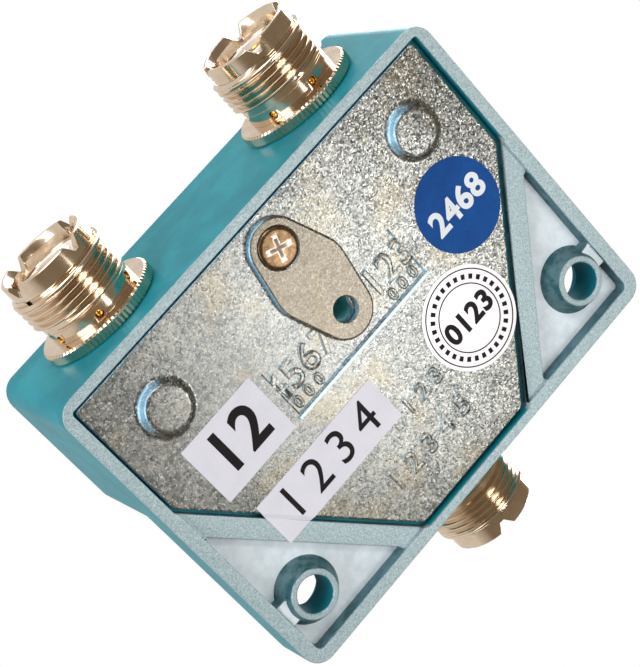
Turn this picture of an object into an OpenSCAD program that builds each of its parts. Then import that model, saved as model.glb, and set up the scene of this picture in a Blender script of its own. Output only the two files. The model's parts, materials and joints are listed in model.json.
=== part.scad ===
// Two-way coaxial antenna switch with a die-cast housing.
// Z = 0 is the plane of its four feet, the two buttons and the two ear bosses, behind the back
// rim, and +Z points to the knob. +Y points to the side with two sockets.
// The part lies on its back. Heights in the modules start from the rim.

/* [Housing] */
// Width of the housing along the side with two sockets
body_w = 74.7; // [73:0.1:90]
// Height of the housing between the two socket sides
body_h = 54.3; // [53:0.1:64]
// Depth of the housing from the back rim to the front face
body_d = 27.3; // [26:0.1:36]
// Thickness of the front wall
front_wall = 2.4; // [2:0.1:3.5]
// Thickness of the walls that carry the sockets
socket_wall = 2.8; // [2.4:0.1:4]
// Thickness of the two short side walls
side_wall = 3; // [2.6:0.1:4]
// Radius of the housing's upright corners
corner_r = 3; // [1.5:0.1:3.5]
// Angle of the two slanted walls from the long side
slant_a = 52.4; // [50:0.2:56]
// Distance of the slanted walls' outer faces from the knob's axis
slant_d = 26.9; // [26.5:0.1:28]
// Thickness of the slanted walls
slant_wall = 3.6; // [3:0.1:4]

/* [Back rim and ears] */
// Width of the bare rim along the side with two sockets
rim_long = 1.6; // [1.4:0.1:2]
// Width of the bare rim along the short sides
rim_side = 1.9; // [1.6:0.1:2.4]
// Width of the bare rim along the side with one socket
rim_single = 1.45; // [1.4:0.05:2.2]
// Width from the slanted walls' outer faces to the cover's recess
rim_slant = 2; // [2:0.1:2.6]
// Depth of the cover's outer face below the rim
cover_drop = 0.5; // [0.4:0.05:0.7]
// Thickness of an ear's plate, at the back of the housing
ear_t = 9; // [7:0.1:10]
// Thickness of the web left under an ear's pocket
ear_web = 6.6; // [6:0.1:7]
// Width of the ridge between the cover and a pocket
ridge_w = 3.1; // [2.8:0.1:3.6]
// Drop of that ridge below the rim
ridge_drop = 0.8; // [0.4:0.1:1.2]
// Width of the pocket's rim on the short side
pocket_rim_side = 2.2; // [1.9:0.1:2.2]
// Width of the pocket's rim on the single socket side
pocket_rim_single = 2; // [1.6:0.1:2.4]
// Distance of a mounting hole from the short side
ear_in = 7.35; // [7.3:0.05:7.6]
// Distance of the mounting holes from the side with one socket
ear_up = 8.8; // [8.4:0.05:9.2]
// Diameter of a mounting hole
ear_hole = 5.4; // [4.4:0.1:5.6]
// Chamfer at the mouth of a mounting hole
ear_chamfer = 0.25; // [0.1:0.05:0.4]
// Diameter of the counterbore for a screw head at the front of an ear
spot_d = 9; // [8:0.1:9.6]
// Depth of that counterbore
spot_t = 3.8; // [2.6:0.1:4]
// Diameter of an ear boss at its top
boss_top = 7.4; // [7:0.1:7.8]
// Diameter of an ear boss at its base
boss_base = 10; // [9:0.1:10]
// Width of the gusset between a boss and the short side
gusset_w = 4.4; // [2:0.2:5]
// Offset of the gusset from the boss's middle line
gusset_shift = 0.6; // [0:0.1:1]
// Drop of the gusset's top below the rim
gusset_drop = 0.4; // [0.3:0.1:1.4]

/* [Cover] */
// Thickness of the rear cover plate
cover_t = 1.5; // [1.2:0.1:2]
// Gap between the cover and the rim
cover_gap = 0.65; // [0.4:0.05:0.7]
// Distance of a raised button from the short side
button_in = 11.35; // [10.6:0.05:13]
// Distance of the buttons from the side with two sockets
button_down = 10.9; // [10:0.05:13]
// Diameter of a button at its foot
button_foot = 8.2; // [7.6:0.1:9]
// Diameter of a button's face
button_face = 6.6; // [6:0.1:7.2]
// Height of a button
button_h = 1.25; // [1:0.05:1.4]

/* [Tab plate] */
// Thickness of the tab plate
tab_t = 1; // [0.9:0.05:1.1]
// Distance of the tab's screw from the side with two sockets
tab_down = 7.3; // [7.2:0.05:8]
// Offset of the tab's screw from the middle line
tab_shift = 0.15; // [0:0.05:1]
// Distance between the tab's screw and its open hole
tab_pitch = 13.4; // [12.5:0.1:14]
// Lean of the tab plate from upright
tab_lean = 4.5; // [0:0.5:8]
// Width of the tab plate across its middle
tab_w = 12.4; // [11.5:0.1:13]
// Radius of the tab plate's two ends
tab_end_r = 4.3; // [4:0.1:4.6]
// Diameter of the tab's open hole and of the cover's hole behind it
tab_hole = 3.8; // [3.2:0.1:4]
// Diameter of the tab screw's thread
tab_thread = 3; // [2.5:0.1:3.2]
// Diameter of the tab screw's head
tab_head = 6; // [5.5:0.1:6.2]
// Height of the head above the tab
tab_head_h = 0.25; // [0.2:0.05:0.35]
// Width of the slope round the head's top
tab_head_slope = 0.8; // [0.5:0.1:1]
// Clearance round the tab screw's thread and head
tab_gap = 0.2; // [0.1:0.05:0.3]
// Share of the tab's thickness that the screw's dish takes
dish_share = 0.8; // [0.6:0.05:0.9]
// Width of the screw's cross recess
cross_w = 0.7; // [0.5:0.1:0.9]
// Length of the screw's cross recess
cross_len = 3.2; // [2.6:0.1:3.6]
// Turn of the screw's cross recess, in degrees
cross_a = 20; // [0:5:85]
// Depth of the screw's cross recess
cross_t = 1.1; // [0.8:0.1:1.3]
// Length of the blind inserts behind the cover
insert_len = 4.5; // [4:0.1:6]
// Outer diameter of the blind inserts
insert_d = 5.6; // [5.2:0.1:6]
// Width of the inserts' flange
insert_rim = 0.8; // [0.5:0.1:1]
// Thickness of the inserts' closed end
insert_end = 0.8; // [0.6:0.1:1.2]
// Bore of the insert that takes the tab's screw
insert_bore = 3.04; // [3.04:0.01:3.2]
// Bore of the insert behind the tab's open hole
spare_bore = 3.2; // [2.8:0.1:3.4]

/* [Coaxial sockets] */
// Distance between the two switched sockets
socket_pitch = 42; // [38:0.2:48]
// Height of the sockets' axes above the rim plane
socket_z = 14; // [12.5:0.1:14.2]
// Major diameter of the coupling thread
thread_d = 15.875; // [15.5:0.025:16]
// Pitch of the coupling thread
thread_pitch = 1.0583; // [0.9:0.0001:1.2]
// Number of thread turns
thread_turns = 5; // [4:1:5]
// Depth of the thread
thread_depth = 0.62; // [0.5:0.01:0.65]
// Length of plain metal after the thread's last turn
thread_runout = 0.35; // [0.2:0.05:0.5]
// Width of the collar between the thread and the crown
collar_w = 0.5; // [0.3:0.05:0.6]
// Diameter of the knurled flange
flange_d = 19.2; // [18:0.1:20]
// Thickness of the knurled flange
flange_t = 1.9; // [1.5:0.1:2.4]
// Diameter of the plain neck
neck_d = 14.5; // [14.3:0.1:15]
// Length of the plain neck
neck_len = 2.1; // [1.8:0.1:2.6]
// Length of the notched crown beyond the thread
crown_len = 3.1; // [2.8:0.1:3.8]
// Outer diameter of the crown
crown_d = 14.4; // [14:0.1:14.6]
// Width of the undercut between the thread and the crown
undercut_w = 0.4; // [0.3:0.1:0.6]
// Depth of that undercut
undercut_t = 0.4; // [0.2:0.1:0.5]
// Chamfer at the crown's outer edge
crown_edge = 0.2; // [0.1:0.05:0.3]
// Bore of the socket's mouth
mouth_d = 12; // [11.8:0.1:12.3]
// Width of the flare at the mouth's edge
mouth_flare = 0.6; // [0.4:0.1:0.7]
// Length of that flare
flare_len = 1.1; // [0.8:0.1:1.4]
// Width of the step behind the mouth that the insulator rests on
mouth_step = 0.6; // [0.4:0.1:0.8]
// Number of notches in the crown
notch_count = 4; // [4:4:8]
// Width of a crown notch at its mouth
notch_w = 2.9; // [2.4:0.1:4]
// Width of a crown notch at its bottom
notch_foot = 0.7; // [0.5:0.1:1.4]
// Turn of the notches in the socket at -X, in degrees
notch_a = 76; // [0:1:89]
// Turn of the notches in the socket at +X, in degrees
notch_b = 23; // [0:1:89]
// Turn of the notches in the single socket, in degrees
notch_common = 12; // [0:1:89]
// Depth of a crown notch
notch_depth = 1.7; // [1.2:0.1:2]
// Diameter of the spigot in the wall
spigot_d = 13.6; // [13.2:0.1:14]
// Clearance around the spigot
spigot_gap = 0.05; // [0.02:0.01:0.1]
// Number of retaining pin holes in the neck
pin_count = 6; // [4:1:6]
// Diameter of the retaining pin holes
pin_hole_d = 1.3; // [1:0.1:1.6]
// Depth of the retaining pin holes
pin_hole_t = 1.1; // [0.8:0.1:1.2]
// Distance of the retaining pin holes from the flange
pin_hole_up = 0.9; // [0.8:0.05:1]
// Turn of the pin holes in the socket at -X, in degrees
pin_a = 39; // [0:1:59]
// Turn of the pin holes in the socket at +X, in degrees
pin_b = 20; // [0:1:59]
// Turn of the pin holes in the single socket, in degrees
pin_common = 0; // [0:1:59]
// Depth of the insulator's face below the crown's end
insulator_drop = 2.6; // [2.2:0.1:3.4]
// Diameter of the raised collar round the contact
collar_d = 7; // [6:0.1:7.6]
// Height of the raised collar
collar_h = 0.6; // [0.4:0.1:1]
// Depth of the centre contact's end below the top of the collar
contact_sink = 0.8; // [0.4:0.1:1.2]
// Bore of the centre contact
contact_bore = 4; // [3.9:0.01:4.1]
// Depth of the contact's bore
contact_depth = 10; // [9:0.1:10.4]
// Outer diameter of the centre contact
contact_d = 5.2; // [5:0.1:5.6]
// Width of the slits in the contact's mouth
slit_w = 0.4; // [0.3:0.05:0.5]
// Length of the slits
slit_len = 5; // [4:0.1:6]
// Diameter of the contact's solder tail
tail_d = 3; // [2.6:0.1:3.4]
// Length of the tail behind the insulator
tail_len = 4.6; // [4:0.1:5]
// Length of the slot in the tail's end
tail_slot = 2; // [1.6:0.1:2.4]
// Gap between a strip's end and the bottom of that slot
slot_end = 0.1; // [0.05:0.05:0.2]
// Clearance at each face of a strip in that slot
slot_gap = 0.02; // [0.01:0.01:0.04]
// Width of the strips in that slot, as a share of the tail's diameter
tail_share = 0.8; // [0.6:0.05:0.85]
// Length of the insulator behind the wall
insulator_back = 0.8; // [0.4:0.1:1.2]
// Clearance between a socket's nested pieces
nest_gap = 0.03; // [0.02:0.01:0.05]

/* [Switching parts] */
// Thickness of the three contact strips
strip_t = 0.6; // [0.5:0.05:0.7]
// Width of the contact strips
strip_w = 4; // [3:0.1:4.4]
// Diameter of the strips' locating holes
strip_hole_d = 1.2; // [1:0.1:1.6]
// Distance of the fixed pads from the knob's axis
pad_r = 13; // [12:0.1:13.6]
// Diameter of the fixed pads
pad_d = 5.2; // [4.6:0.1:6]
// Thickness of the moving blade
blade_t = 0.8; // [0.6:0.05:0.9]
// Reach of the blade and of the grounding arms
blade_reach = 15.6; // [15:0.1:16]
// Thickness of the grounding yoke
yoke_t = 0.85; // [0.7:0.05:1]
// Width of the blade and the grounding arms
blade_w = 4; // [3.4:0.1:4.4]
// Air gap that stands for the wiping pressure
wipe_gap = 0.15; // [0.1:0.01:0.2]
// Diameter of the rotor hub's neck
hub_neck_d = 7.2; // [7:0.1:8]
// Diameter of the rotor hub's flange
hub_d = 14; // [13:0.1:15]
// Share of the rotor's free height that the hub's flange takes
hub_share = 0.4; // [0.36:0.01:0.42]
// Width of the common ring round the hub's neck
ring_w = 1.9; // [1.6:0.1:2.2]
// Clearance between the common ring and the hub's neck
ring_gap = 0.6; // [0.4:0.1:0.8]
// Diameter of the yoke's centre
yoke_d = 10.4; // [10:0.1:11]
// Distance from the blade's tip to the step in the common strip
step_back = 3.6; // [3.2:0.1:4]
// Setback of the bend in a switched strip
bend_in = 0.9; // [0.6:0.1:1.2]

/* [Detent] */
// Diameter of the detent wheel
wheel_d = 16; // [15:0.1:17]
// Share of the rotor's free height that the detent wheel takes
wheel_share = 0.37; // [0.32:0.01:0.38]
// Diameter of the wheel's boss
wheel_boss_d = 10; // [9.6:0.1:10.6]
// Radius of the detent notches
notch_r = 1.6; // [1.5:0.05:1.8]
// Distance of a notch's centre outside the wheel, as a share of the notch's radius
notch_out = 0.2; // [0.1:0.05:0.3]
// Radius of the spring's round bump
bump_r = 1.3; // [1.2:0.05:1.4]
// Air gap between the bump and its notch
bump_gap = 0.12; // [0.1:0.01:0.2]
// Thickness of the leaf spring
leaf_t = 0.5; // [0.4:0.05:0.6]
// Free length of the leaf spring between its posts
leaf_span = 24; // [22:0.5:26]
// Clearance of the leaf spring in its slots
leaf_gap = 0.05; // [0.04:0.01:0.1]
// Size of the spring's square posts
leaf_post = 3.2; // [3:0.1:4]
// Reach of the spring's posts and of the stop posts below the wheel
post_drop = 0.6; // [0.4:0.1:0.8]
// Clearance of the spring's ends in their posts
leaf_end_gap = 0.3; // [0.2:0.1:0.4]
// Travel between the two switch positions, in degrees
throw_a = 90; // [80:5:90]
// Radius of the circle on which the stop posts stand
stop_r = 10.6; // [10:0.1:11]
// Diameter of the stop posts
stop_d = 3; // [2.6:0.1:3.4]
// Width of the wheel's stop lug
lug_w = 4; // [3.4:0.1:4.4]
// Gap left between the lug and a stop post
stop_gap = 0.3; // [0.2:0.05:0.4]

/* [Shaft and bush] */
// Diameter of the shaft
shaft_d = 6; // [5.6:0.1:6.35]
// Running clearance round the shaft
shaft_gap = 0.05; // [0.02:0.01:0.08]
// Depth of the flat on the shaft under the set screw
shaft_flat = 0.8; // [0.5:0.1:1]
// Distance of that flat's end from the knob's hollow
flat_up = 0.4; // [0.2:0.1:0.8]
// Length of the shaft beyond its inner ring
shaft_tip = 1.2; // [1:0.1:1.6]
// Diameter of the bush's threaded barrel
bush_d = 9.4; // [9.2:0.1:10]
// Length of the bush outside the front wall
bush_out = 6; // [5.6:0.1:6.4]
// Diameter of the bush's inner flange
bush_flange_d = 14; // [13:0.1:16]
// Thickness of the bush's inner flange
bush_flange_t = 1.4; // [1.2:0.1:1.6]
// Thickness of the thrust washer
thrust_t = 0.5; // [0.4:0.1:0.6]
// End play of the rotor
end_play = 0.1; // [0.05:0.01:0.15]
// Across flats size of the bush's nut
nut_af = 14; // [13:0.5:15]
// Thickness of the nut
nut_t = 2.4; // [2:0.1:2.8]
// Thickness of the nut's washer
washer_t = 0.6; // [0.5:0.1:0.8]
// Diameter of the nut's washer
washer_d = 16; // [15:0.5:17]
// Thickness of the retaining rings
clip_t = 0.7; // [0.6:0.05:0.8]
// Diameter of the retaining rings
clip_d = 9; // [8.4:0.1:9.6]
// Width of a retaining ring's mouth
clip_mouth = 3.6; // [3:0.1:4]
// Clearance between the outer ring and the knob's hollow
clip_room = 0.6; // [0.4:0.1:0.8]
// Depth of the shaft's ring grooves
groove_depth = 0.6; // [0.5:0.05:0.7]
// Thickness of the dial plate
dial_t = 0.6; // [0.5:0.1:0.8]
// Diameter of the dial plate
dial_d = 40; // [36:0.5:42]

/* [Knob] */
// Diameter of the knob's skirt
skirt_d = 29; // [27:0.5:32]
// Height of the knob's skirt
skirt_h = 4.4; // [4.2:0.1:5.4]
// Gap between the skirt and the dial plate
knob_gap = 0.6; // [0.4:0.1:1]
// Height of the knob's grip bar above the skirt
bar_h = 12.4; // [11.5:0.1:14]
// Width of the grip bar
bar_w = 8.6; // [8:0.1:10]
// Length of the grip bar
bar_len = 28; // [25:0.5:28]
// Diameter of the knob's centre hub
knob_hub_d = 16; // [15:0.5:18]
// Height of the knob's centre hub above the skirt
knob_hub_h = 7.4; // [7:0.1:8.4]
// Diameter of the hollow under the knob
hollow_d = 20; // [18.5:0.5:22]
// Clearance above the nut and round the bush in the hollow
hollow_gap = 0.6; // [0.5:0.05:0.8]
// Thickness of the grip above the shaft's end
bar_roof = 2.4; // [2:0.1:3]
// Diameter of the set screw
set_d = 3; // [2.5:0.1:3.5]
// Depth of the set screw below the hub's side
set_sunk = 0.8; // [0.5:0.1:1]
// Depth of the set screw's hexagonal socket
hex_t = 1.2; // [1:0.1:1.5]
// Size of the hexagonal socket across its corners, as a share of the screw's diameter
hex_share = 0.55; // [0.4:0.05:0.6]
// Width of the pointer line
pointer_w = 1.4; // [1:0.1:2]
// Depth of the pointer line
pointer_t = 0.5; // [0.4:0.1:0.7]
// Length of the pointer line
pointer_len = 11; // [9:0.5:12]
// Distance of the pointer line from the grip's end
pointer_in = 1; // [0.8:0.1:1.6]
// Rest angle of the pointer from the +X direction
pointer_a = 135; // [135:5:140]

/* [Labels] */
// Thickness of the stuck-on labels
label_t = 0.12; // [0.1:0.01:0.2]
// Diameter of the blue round label
blue_d = 13.8; // [13:0.1:14]
// Diameter of the silver round label
silver_d = 15.4; // [14:0.1:15.6]
// Width of the white oblong label
white_w = 13.9; // [12:0.1:14]
// Height of the white oblong label
white_h = 10.2; // [9:0.1:10.4]
// Length of the white strip label
strip_label_w = 24.1; // [22:0.1:24.4]
// Height of the white strip label
strip_label_h = 7.6; // [6.6:0.1:7.8]
// Distance of the blue label's centre from the short side
blue_in = 13.5; // [13:0.05:14]
// Distance of the white label's centre from the short side
white_in = 15.25; // [15:0.05:16]

/* [Hidden] */
$fn = 64;
eps = 0.01;
hw = body_w / 2;
hh = body_h / 2;
n_x = sin(slant_a);
n_y = cos(slant_a);

// How far the four feet, two buttons and two ear bosses, stand out behind the rim
foot_rise = button_h - cover_drop;
// Height of the rim above the plane that the part lies on
stand = max(foot_rise, tab_t + tab_head_h - cover_drop);

// Heights, from the back rim to the knob
cover_in = cover_drop + cover_t;
front_in = body_d - front_wall;
pocket_floor = ear_t - ear_web;
pad_lo = socket_z - strip_t / 2;
pad_hi = socket_z + strip_t / 2;
blade_lo = pad_hi + wipe_gap;
blade_hi = blade_lo + blade_t;
com_lo = blade_hi + wipe_gap;
com_hi = com_lo + strip_t;
hub_lo = com_hi + wipe_gap;
yoke_hi = pad_lo - wipe_gap;
yoke_lo = yoke_hi - yoke_t;
bush_lo = front_in - bush_flange_t;
thrust_lo = bush_lo - thrust_t;
boss_hi = thrust_lo - end_play;
hub_t = hub_share * (boss_hi - hub_lo);
hub_hi = hub_lo + hub_t;
wheel_t = wheel_share * (boss_hi - hub_lo);
wheel_hi = hub_hi + wheel_t;
dial_hi = body_d + dial_t;
washer_hi = dial_hi + washer_t;
nut_hi = washer_hi + nut_t;
bush_hi = body_d + bush_out;
clip_lo = bush_hi + end_play;
knob_lo = dial_hi + knob_gap;
skirt_hi = knob_lo + skirt_h;
hollow_mid = nut_hi + hollow_gap;
hollow_hi = clip_lo + clip_t + clip_room;
hollow_in = max(bush_d, clip_d) + 2 * hollow_gap;
bar_hi = skirt_hi + bar_h;
hub_top = skirt_hi + knob_hub_h;
shaft_lo = yoke_lo - clip_t - shaft_tip;
shaft_hi = bar_hi - bar_roof;
set_z = (hollow_hi + hub_top) / 2;

// Distances of the slanted lines from the knob's axis
recess_d = slant_d - rim_slant;
cavity_d = slant_d - slant_wall;
ridge_d = recess_d + ridge_w;
cover_d = recess_d - cover_gap;

// Places of a thread's crest and root, as shares of its pitch
crest_lo = 0.18;
crest_hi = 0.46;
root_lo = 0.66;
root_hi = 0.98;

// Socket lengths, measured out from the housing's wall
thread_start = flange_t + neck_len;
thread_len = thread_turns * thread_pitch + thread_runout;
crown_start = thread_start + thread_len;
socket_len = crown_start + crown_len;
insulator_front = socket_len - insulator_drop;
collar_front = insulator_front + collar_h;
contact_front = collar_front - contact_sink;
insulator_rear = -socket_wall - insulator_back;
tail_end = insulator_rear - tail_len;
inner_d = mouth_d - 2 * mouth_step;

// Label centres
blue_at = [-hw + blue_in, 3.8];
silver_at = blue_at + [9.9, -12.9];
white_at = [hw - white_in, 5.2];
strip_label_at = white_at - [7, 12.4];

ear_x = hw - ear_in;
ear_y = hh - ear_up;
button_x = hw - button_in;
tab_at = [-tab_shift, hh - tab_down];
tab_hole_at = tab_at + tab_pitch * [-sin(tab_lean), -cos(tab_lean)];
stop_a = asin((lug_w / 2 + stop_d / 2 + stop_gap) / stop_r);
leaf_y = -wheel_d / 2 - notch_r * notch_out;

// Lifts a sub-part from the rim's height to the plane behind the buttons
module raised() {
    translate([0, 0, stand])
        children();
}

// ---- Outlines ----

function slant_y(x, d) = (n_x * x - d) / n_y;
function slant_x(y, d) = (d + n_y * y) / n_x;

// Corner points of a six-sided outline with two slanted lower sides
function six(x, top, bottom, d) = [
    [-x, top], [-x, slant_y(x, d)], [-slant_x(-bottom, d), -bottom],
    [slant_x(-bottom, d), -bottom], [x, slant_y(x, d)], [x, top]];

module six_plate(x, top, bottom, d, lo, hi) {
    translate([0, 0, lo])
        linear_extrude(hi - lo)
            polygon(six(x, top, bottom, d));
}

// The sliver of a square corner that lies outside its round, for cutting away
module corner_cut(at, sx, sy, lo, hi) {
    translate([at[0], at[1], lo])
        difference() {
            translate([sx > 0 ? -corner_r : -1, sy > 0 ? -corner_r : -1, 0])
                cube([corner_r + 1, corner_r + 1, hi - lo]);
            translate([-sx * corner_r, -sy * corner_r, -1])
                cylinder(r = corner_r, h = hi - lo + 2);
            translate([sx > 0 ? -corner_r - 2 : corner_r, -corner_r - 2, -1])
                cube([2, 2 * corner_r + 4, hi - lo + 2]);
        }
}

// ---- Housing ----

module ear_pocket(side) {
    x_in = hw - pocket_rim_side;
    y_in = -hh + pocket_rim_single;
    translate([0, 0, -1])
        linear_extrude(pocket_floor + 1)
            polygon([for (p = [[x_in, slant_y(x_in, ridge_d)], [x_in, y_in],
                [slant_x(y_in, ridge_d), y_in]]) [side * p[0], p[1]]]);
}

module ear_boss(side) {
    run = ear_in - pocket_rim_side;
    translate([side * ear_x, -ear_y, -foot_rise])
        cylinder(d1 = boss_top, d2 = boss_base, h = pocket_floor + foot_rise + eps);
    translate([side * (ear_x + run / 2) - run / 2 - eps, -ear_y + gusset_shift - gusset_w / 2, gusset_drop])
        cube([run + 2 * eps, gusset_w, pocket_floor - gusset_drop + eps]);
}

module ear_bore(side) {
    translate([side * ear_x, -ear_y, -foot_rise - 1])
        cylinder(d = ear_hole, h = ear_t + foot_rise + 2);
    translate([side * ear_x, -ear_y, -foot_rise - eps])
        cylinder(d1 = ear_hole + 2 * ear_chamfer, d2 = ear_hole, h = ear_chamfer);
    translate([side * ear_x, -ear_y, ear_t - spot_t])
        cylinder(d = spot_d, h = spot_t + 1);
}

module leaf_post_at(side) {
    translate([side * (leaf_span / 2 + leaf_post / 2) - leaf_post / 2, leaf_y - leaf_t / 2 - leaf_post / 2,
        hub_hi - post_drop])
        cube([leaf_post, leaf_post, front_in - hub_hi + post_drop + eps]);
}

module leaf_slot_at(side) {
    translate([side * (leaf_span / 2 + leaf_post / 2) - leaf_post, leaf_y - leaf_t - leaf_gap, hub_hi - 1])
        cube([2 * leaf_post, leaf_t + 2 * leaf_gap, wheel_t + 1 + leaf_gap]);
}

module stop_post(angle) {
    rotate(angle)
        translate([stop_r, 0, hub_hi - post_drop])
            cylinder(d = stop_d, h = front_in - hub_hi + post_drop + eps);
}

module housing() {
    raised() color("#3f97a3")
        difference() {
            union() {
                difference() {
                    union() {
                        six_plate(hw, hh, hh, slant_d, 0, body_d);
                        translate([-hw, -hh, 0])
                            cube([body_w, body_h, ear_t]);
                    }
                    translate([0, 0, -1])
                        six_plate(hw - rim_side, hh - rim_long, hh - rim_single, recess_d, 0, cover_in + 1);
                    six_plate(hw - side_wall, hh - socket_wall, hh - socket_wall, cavity_d, 1, front_in);
                    for (side = [-1, 1]) {
                        corner_cut([side * hw, hh], side, 1, -1, body_d + 1);
                        corner_cut([side * hw, -hh], side, -1, -1, ear_t + 1);
                        ear_pocket(side);
                    }
                }
                for (side = [-1, 1]) {
                    ear_boss(side);
                    leaf_post_at(side);
                }
                stop_post(pointer_a + stop_a);
                stop_post(pointer_a - throw_a - stop_a);
            }
            for (side = [-1, 1]) {
                ear_bore(side);
                leaf_slot_at(side);
                translate([side * socket_pitch / 2, hh + 1, socket_z])
                    rotate([90, 0, 0])
                        cylinder(d = spigot_d + 2 * spigot_gap, h = socket_wall + 2);
                // The ridge beside each pocket lies a little lower than the rim
                ridge_cut(side);
            }
            translate([0, -hh + socket_wall + 1, socket_z])
                rotate([90, 0, 0])
                    cylinder(d = spigot_d + 2 * spigot_gap, h = socket_wall + 2);
            translate([0, 0, front_in - 1])
                cylinder(d = bush_d + 2 * shaft_gap, h = front_wall + 2);
        }
}

module ridge_cut(side) {
    x_in = hw - pocket_rim_side;
    y_in = -hh + pocket_rim_single;
    low = recess_d - 1;
    high = ridge_d + 0.2;
    translate([0, 0, -1])
        linear_extrude(ridge_drop + 1)
            polygon([for (p = [[x_in, slant_y(x_in, low)], [x_in, slant_y(x_in, high)],
                [slant_x(y_in, high), y_in], [slant_x(y_in, low), y_in]]) [side * p[0], p[1]]]);
}

// ---- Cover and what is fixed on it ----

module rear_cover() {
    raised() color("#9aa1a4")
        difference() {
            union() {
                six_plate(hw - rim_side - cover_gap, hh - rim_long - cover_gap, hh - rim_single - cover_gap,
                    cover_d, cover_drop, cover_in);
                for (side = [-1, 1])
                    translate([side * button_x, hh - button_down, cover_drop - button_h])
                        cylinder(d1 = button_face, d2 = button_foot, h = button_h + eps);
            }
            for (p = [tab_at, tab_hole_at])
                translate([p[0], p[1], cover_drop - 1])
                    cylinder(d = tab_hole, h = cover_t + 2);
        }
}

module tab_outline() {
    mid = (tab_at + tab_hole_at) / 2;
    hull() {
        for (p = [tab_at, tab_hole_at])
            translate(p)
                circle(r = tab_end_r, $fn = 32);
        translate(mid)
            rotate(-tab_lean)
                square([tab_w, 3], center = true);
    }
}

module tab_plate() {
    raised() color("#8b8577")
        difference() {
            translate([0, 0, cover_drop - tab_t])
                linear_extrude(tab_t)
                    tab_outline();
            translate([tab_hole_at[0], tab_hole_at[1], cover_drop - tab_t - 1])
                cylinder(d = tab_hole, h = tab_t + 2);
            translate([tab_at[0], tab_at[1], cover_drop - tab_t - 1])
                cylinder(d = tab_thread + 2 * tab_gap, h = tab_t + 2);
            translate([tab_at[0], tab_at[1], cover_drop - tab_t - eps])
                cylinder(d1 = tab_head + 2 * tab_gap, d2 = tab_thread + 2 * tab_gap, h = tab_t * dish_share);
        }
}

module tab_screw() {
    head_lo = cover_drop - tab_t;
    raised() color("#8a6f63")
        translate([tab_at[0], tab_at[1], 0])
            difference() {
                union() {
                    translate([0, 0, head_lo - tab_head_h])
                        cylinder(d1 = tab_head - 2 * tab_head_slope, d2 = tab_head, h = tab_head_h);
                    translate([0, 0, head_lo - eps])
                        cylinder(d1 = tab_head, d2 = tab_thread, h = tab_t * dish_share);
                    translate([0, 0, head_lo])
                        cylinder(d = tab_thread, h = tab_t + cover_t + insert_len - 2 * insert_end);
                }
                for (a = [0, 90])
                    rotate(a + cross_a)
                        translate([-cross_len / 2, -cross_w / 2, head_lo - tab_head_h - 1])
                            cube([cross_len, cross_w, 1 + cross_t]);
            }
}

// Blind insert with its flange against the cover's inner face
module blind_insert(p, bore) {
    translate([p[0], p[1], cover_in])
        difference() {
            union() {
                cylinder(d = insert_d + 2 * insert_rim, h = insert_rim);
                cylinder(d = insert_d, h = insert_len);
            }
            translate([0, 0, -1])
                cylinder(d = bore, h = insert_len - insert_end + 1);
        }
}

module screw_insert() {
    raised() color("#8f9496")
        blind_insert(tab_at, insert_bore);
}

module spare_insert() {
    raised() color("#3b8894")
        blind_insert(tab_hole_at, spare_bore);
}

// ---- Coaxial sockets, drawn along +Z from the housing's wall ----

module at_socket(which) {
    if (which == "a")
        translate([-socket_pitch / 2, hh, socket_z])
            rotate([-90, 0, 0])
                children();
    if (which == "b")
        translate([socket_pitch / 2, hh, socket_z])
            rotate([-90, 0, 0])
                children();
    if (which == "common")
        translate([0, -hh, socket_z])
            rotate([90, 0, 0])
                children();
}

// Half profile of a shell, with one V groove for each turn of thread
function shell_outline() = concat(
    [[inner_d / 2, -socket_wall], [spigot_d / 2, -socket_wall], [spigot_d / 2, 0], [flange_d / 2, 0],
        [flange_d / 2, flange_t], [neck_d / 2, flange_t], [neck_d / 2, thread_start]],
    [for (i = [0:thread_turns - 1]) for (q = [[0, crest_lo], [0, crest_hi],
        [thread_depth, root_lo], [thread_depth, root_hi]])
        [thread_d / 2 - q[0], thread_start + (i + q[1]) * thread_pitch]],
    [[thread_d / 2, crown_start - collar_w], [thread_d / 2, crown_start],
        [crown_d / 2 - undercut_t, crown_start], [crown_d / 2 - undercut_t, crown_start + undercut_w],
        [crown_d / 2, crown_start + undercut_w],
        [crown_d / 2, socket_len - crown_edge], [crown_d / 2 - crown_edge, socket_len],
        [mouth_d / 2 + mouth_flare, socket_len], [mouth_d / 2, socket_len - flare_len],
        [mouth_d / 2, insulator_front], [inner_d / 2, insulator_front]]);

module shell(which, notch_turn, pin_turn) {
    notch_out_w = notch_w / 2 + (notch_w - notch_foot) / 2 / notch_depth;
    raised() color("#c9b99b")
        at_socket(which)
            difference() {
                rotate_extrude()
                    polygon(shell_outline());
                for (i = [0:notch_count - 1])
                    rotate(i * 360 / notch_count + notch_turn)
                        translate([0, 0, socket_len - notch_depth])
                            rotate([90, 0, 90])
                                linear_extrude(crown_d)
                                    polygon([[-notch_foot / 2, 0], [notch_foot / 2, 0],
                                        [notch_out_w, notch_depth + 1], [-notch_out_w, notch_depth + 1]]);
                for (i = [0:pin_count - 1])
                    rotate(i * 360 / pin_count + pin_turn)
                        translate([neck_d / 2 - pin_hole_t, 0, flange_t + pin_hole_up])
                            rotate([0, 90, 0])
                                cylinder(d = pin_hole_d, h = 3);
            }
}

module shell_a() { shell("a", notch_a, pin_a); }
module shell_b() { shell("b", notch_b, pin_b); }
module shell_common() { shell("common", notch_common, pin_common); }

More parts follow.
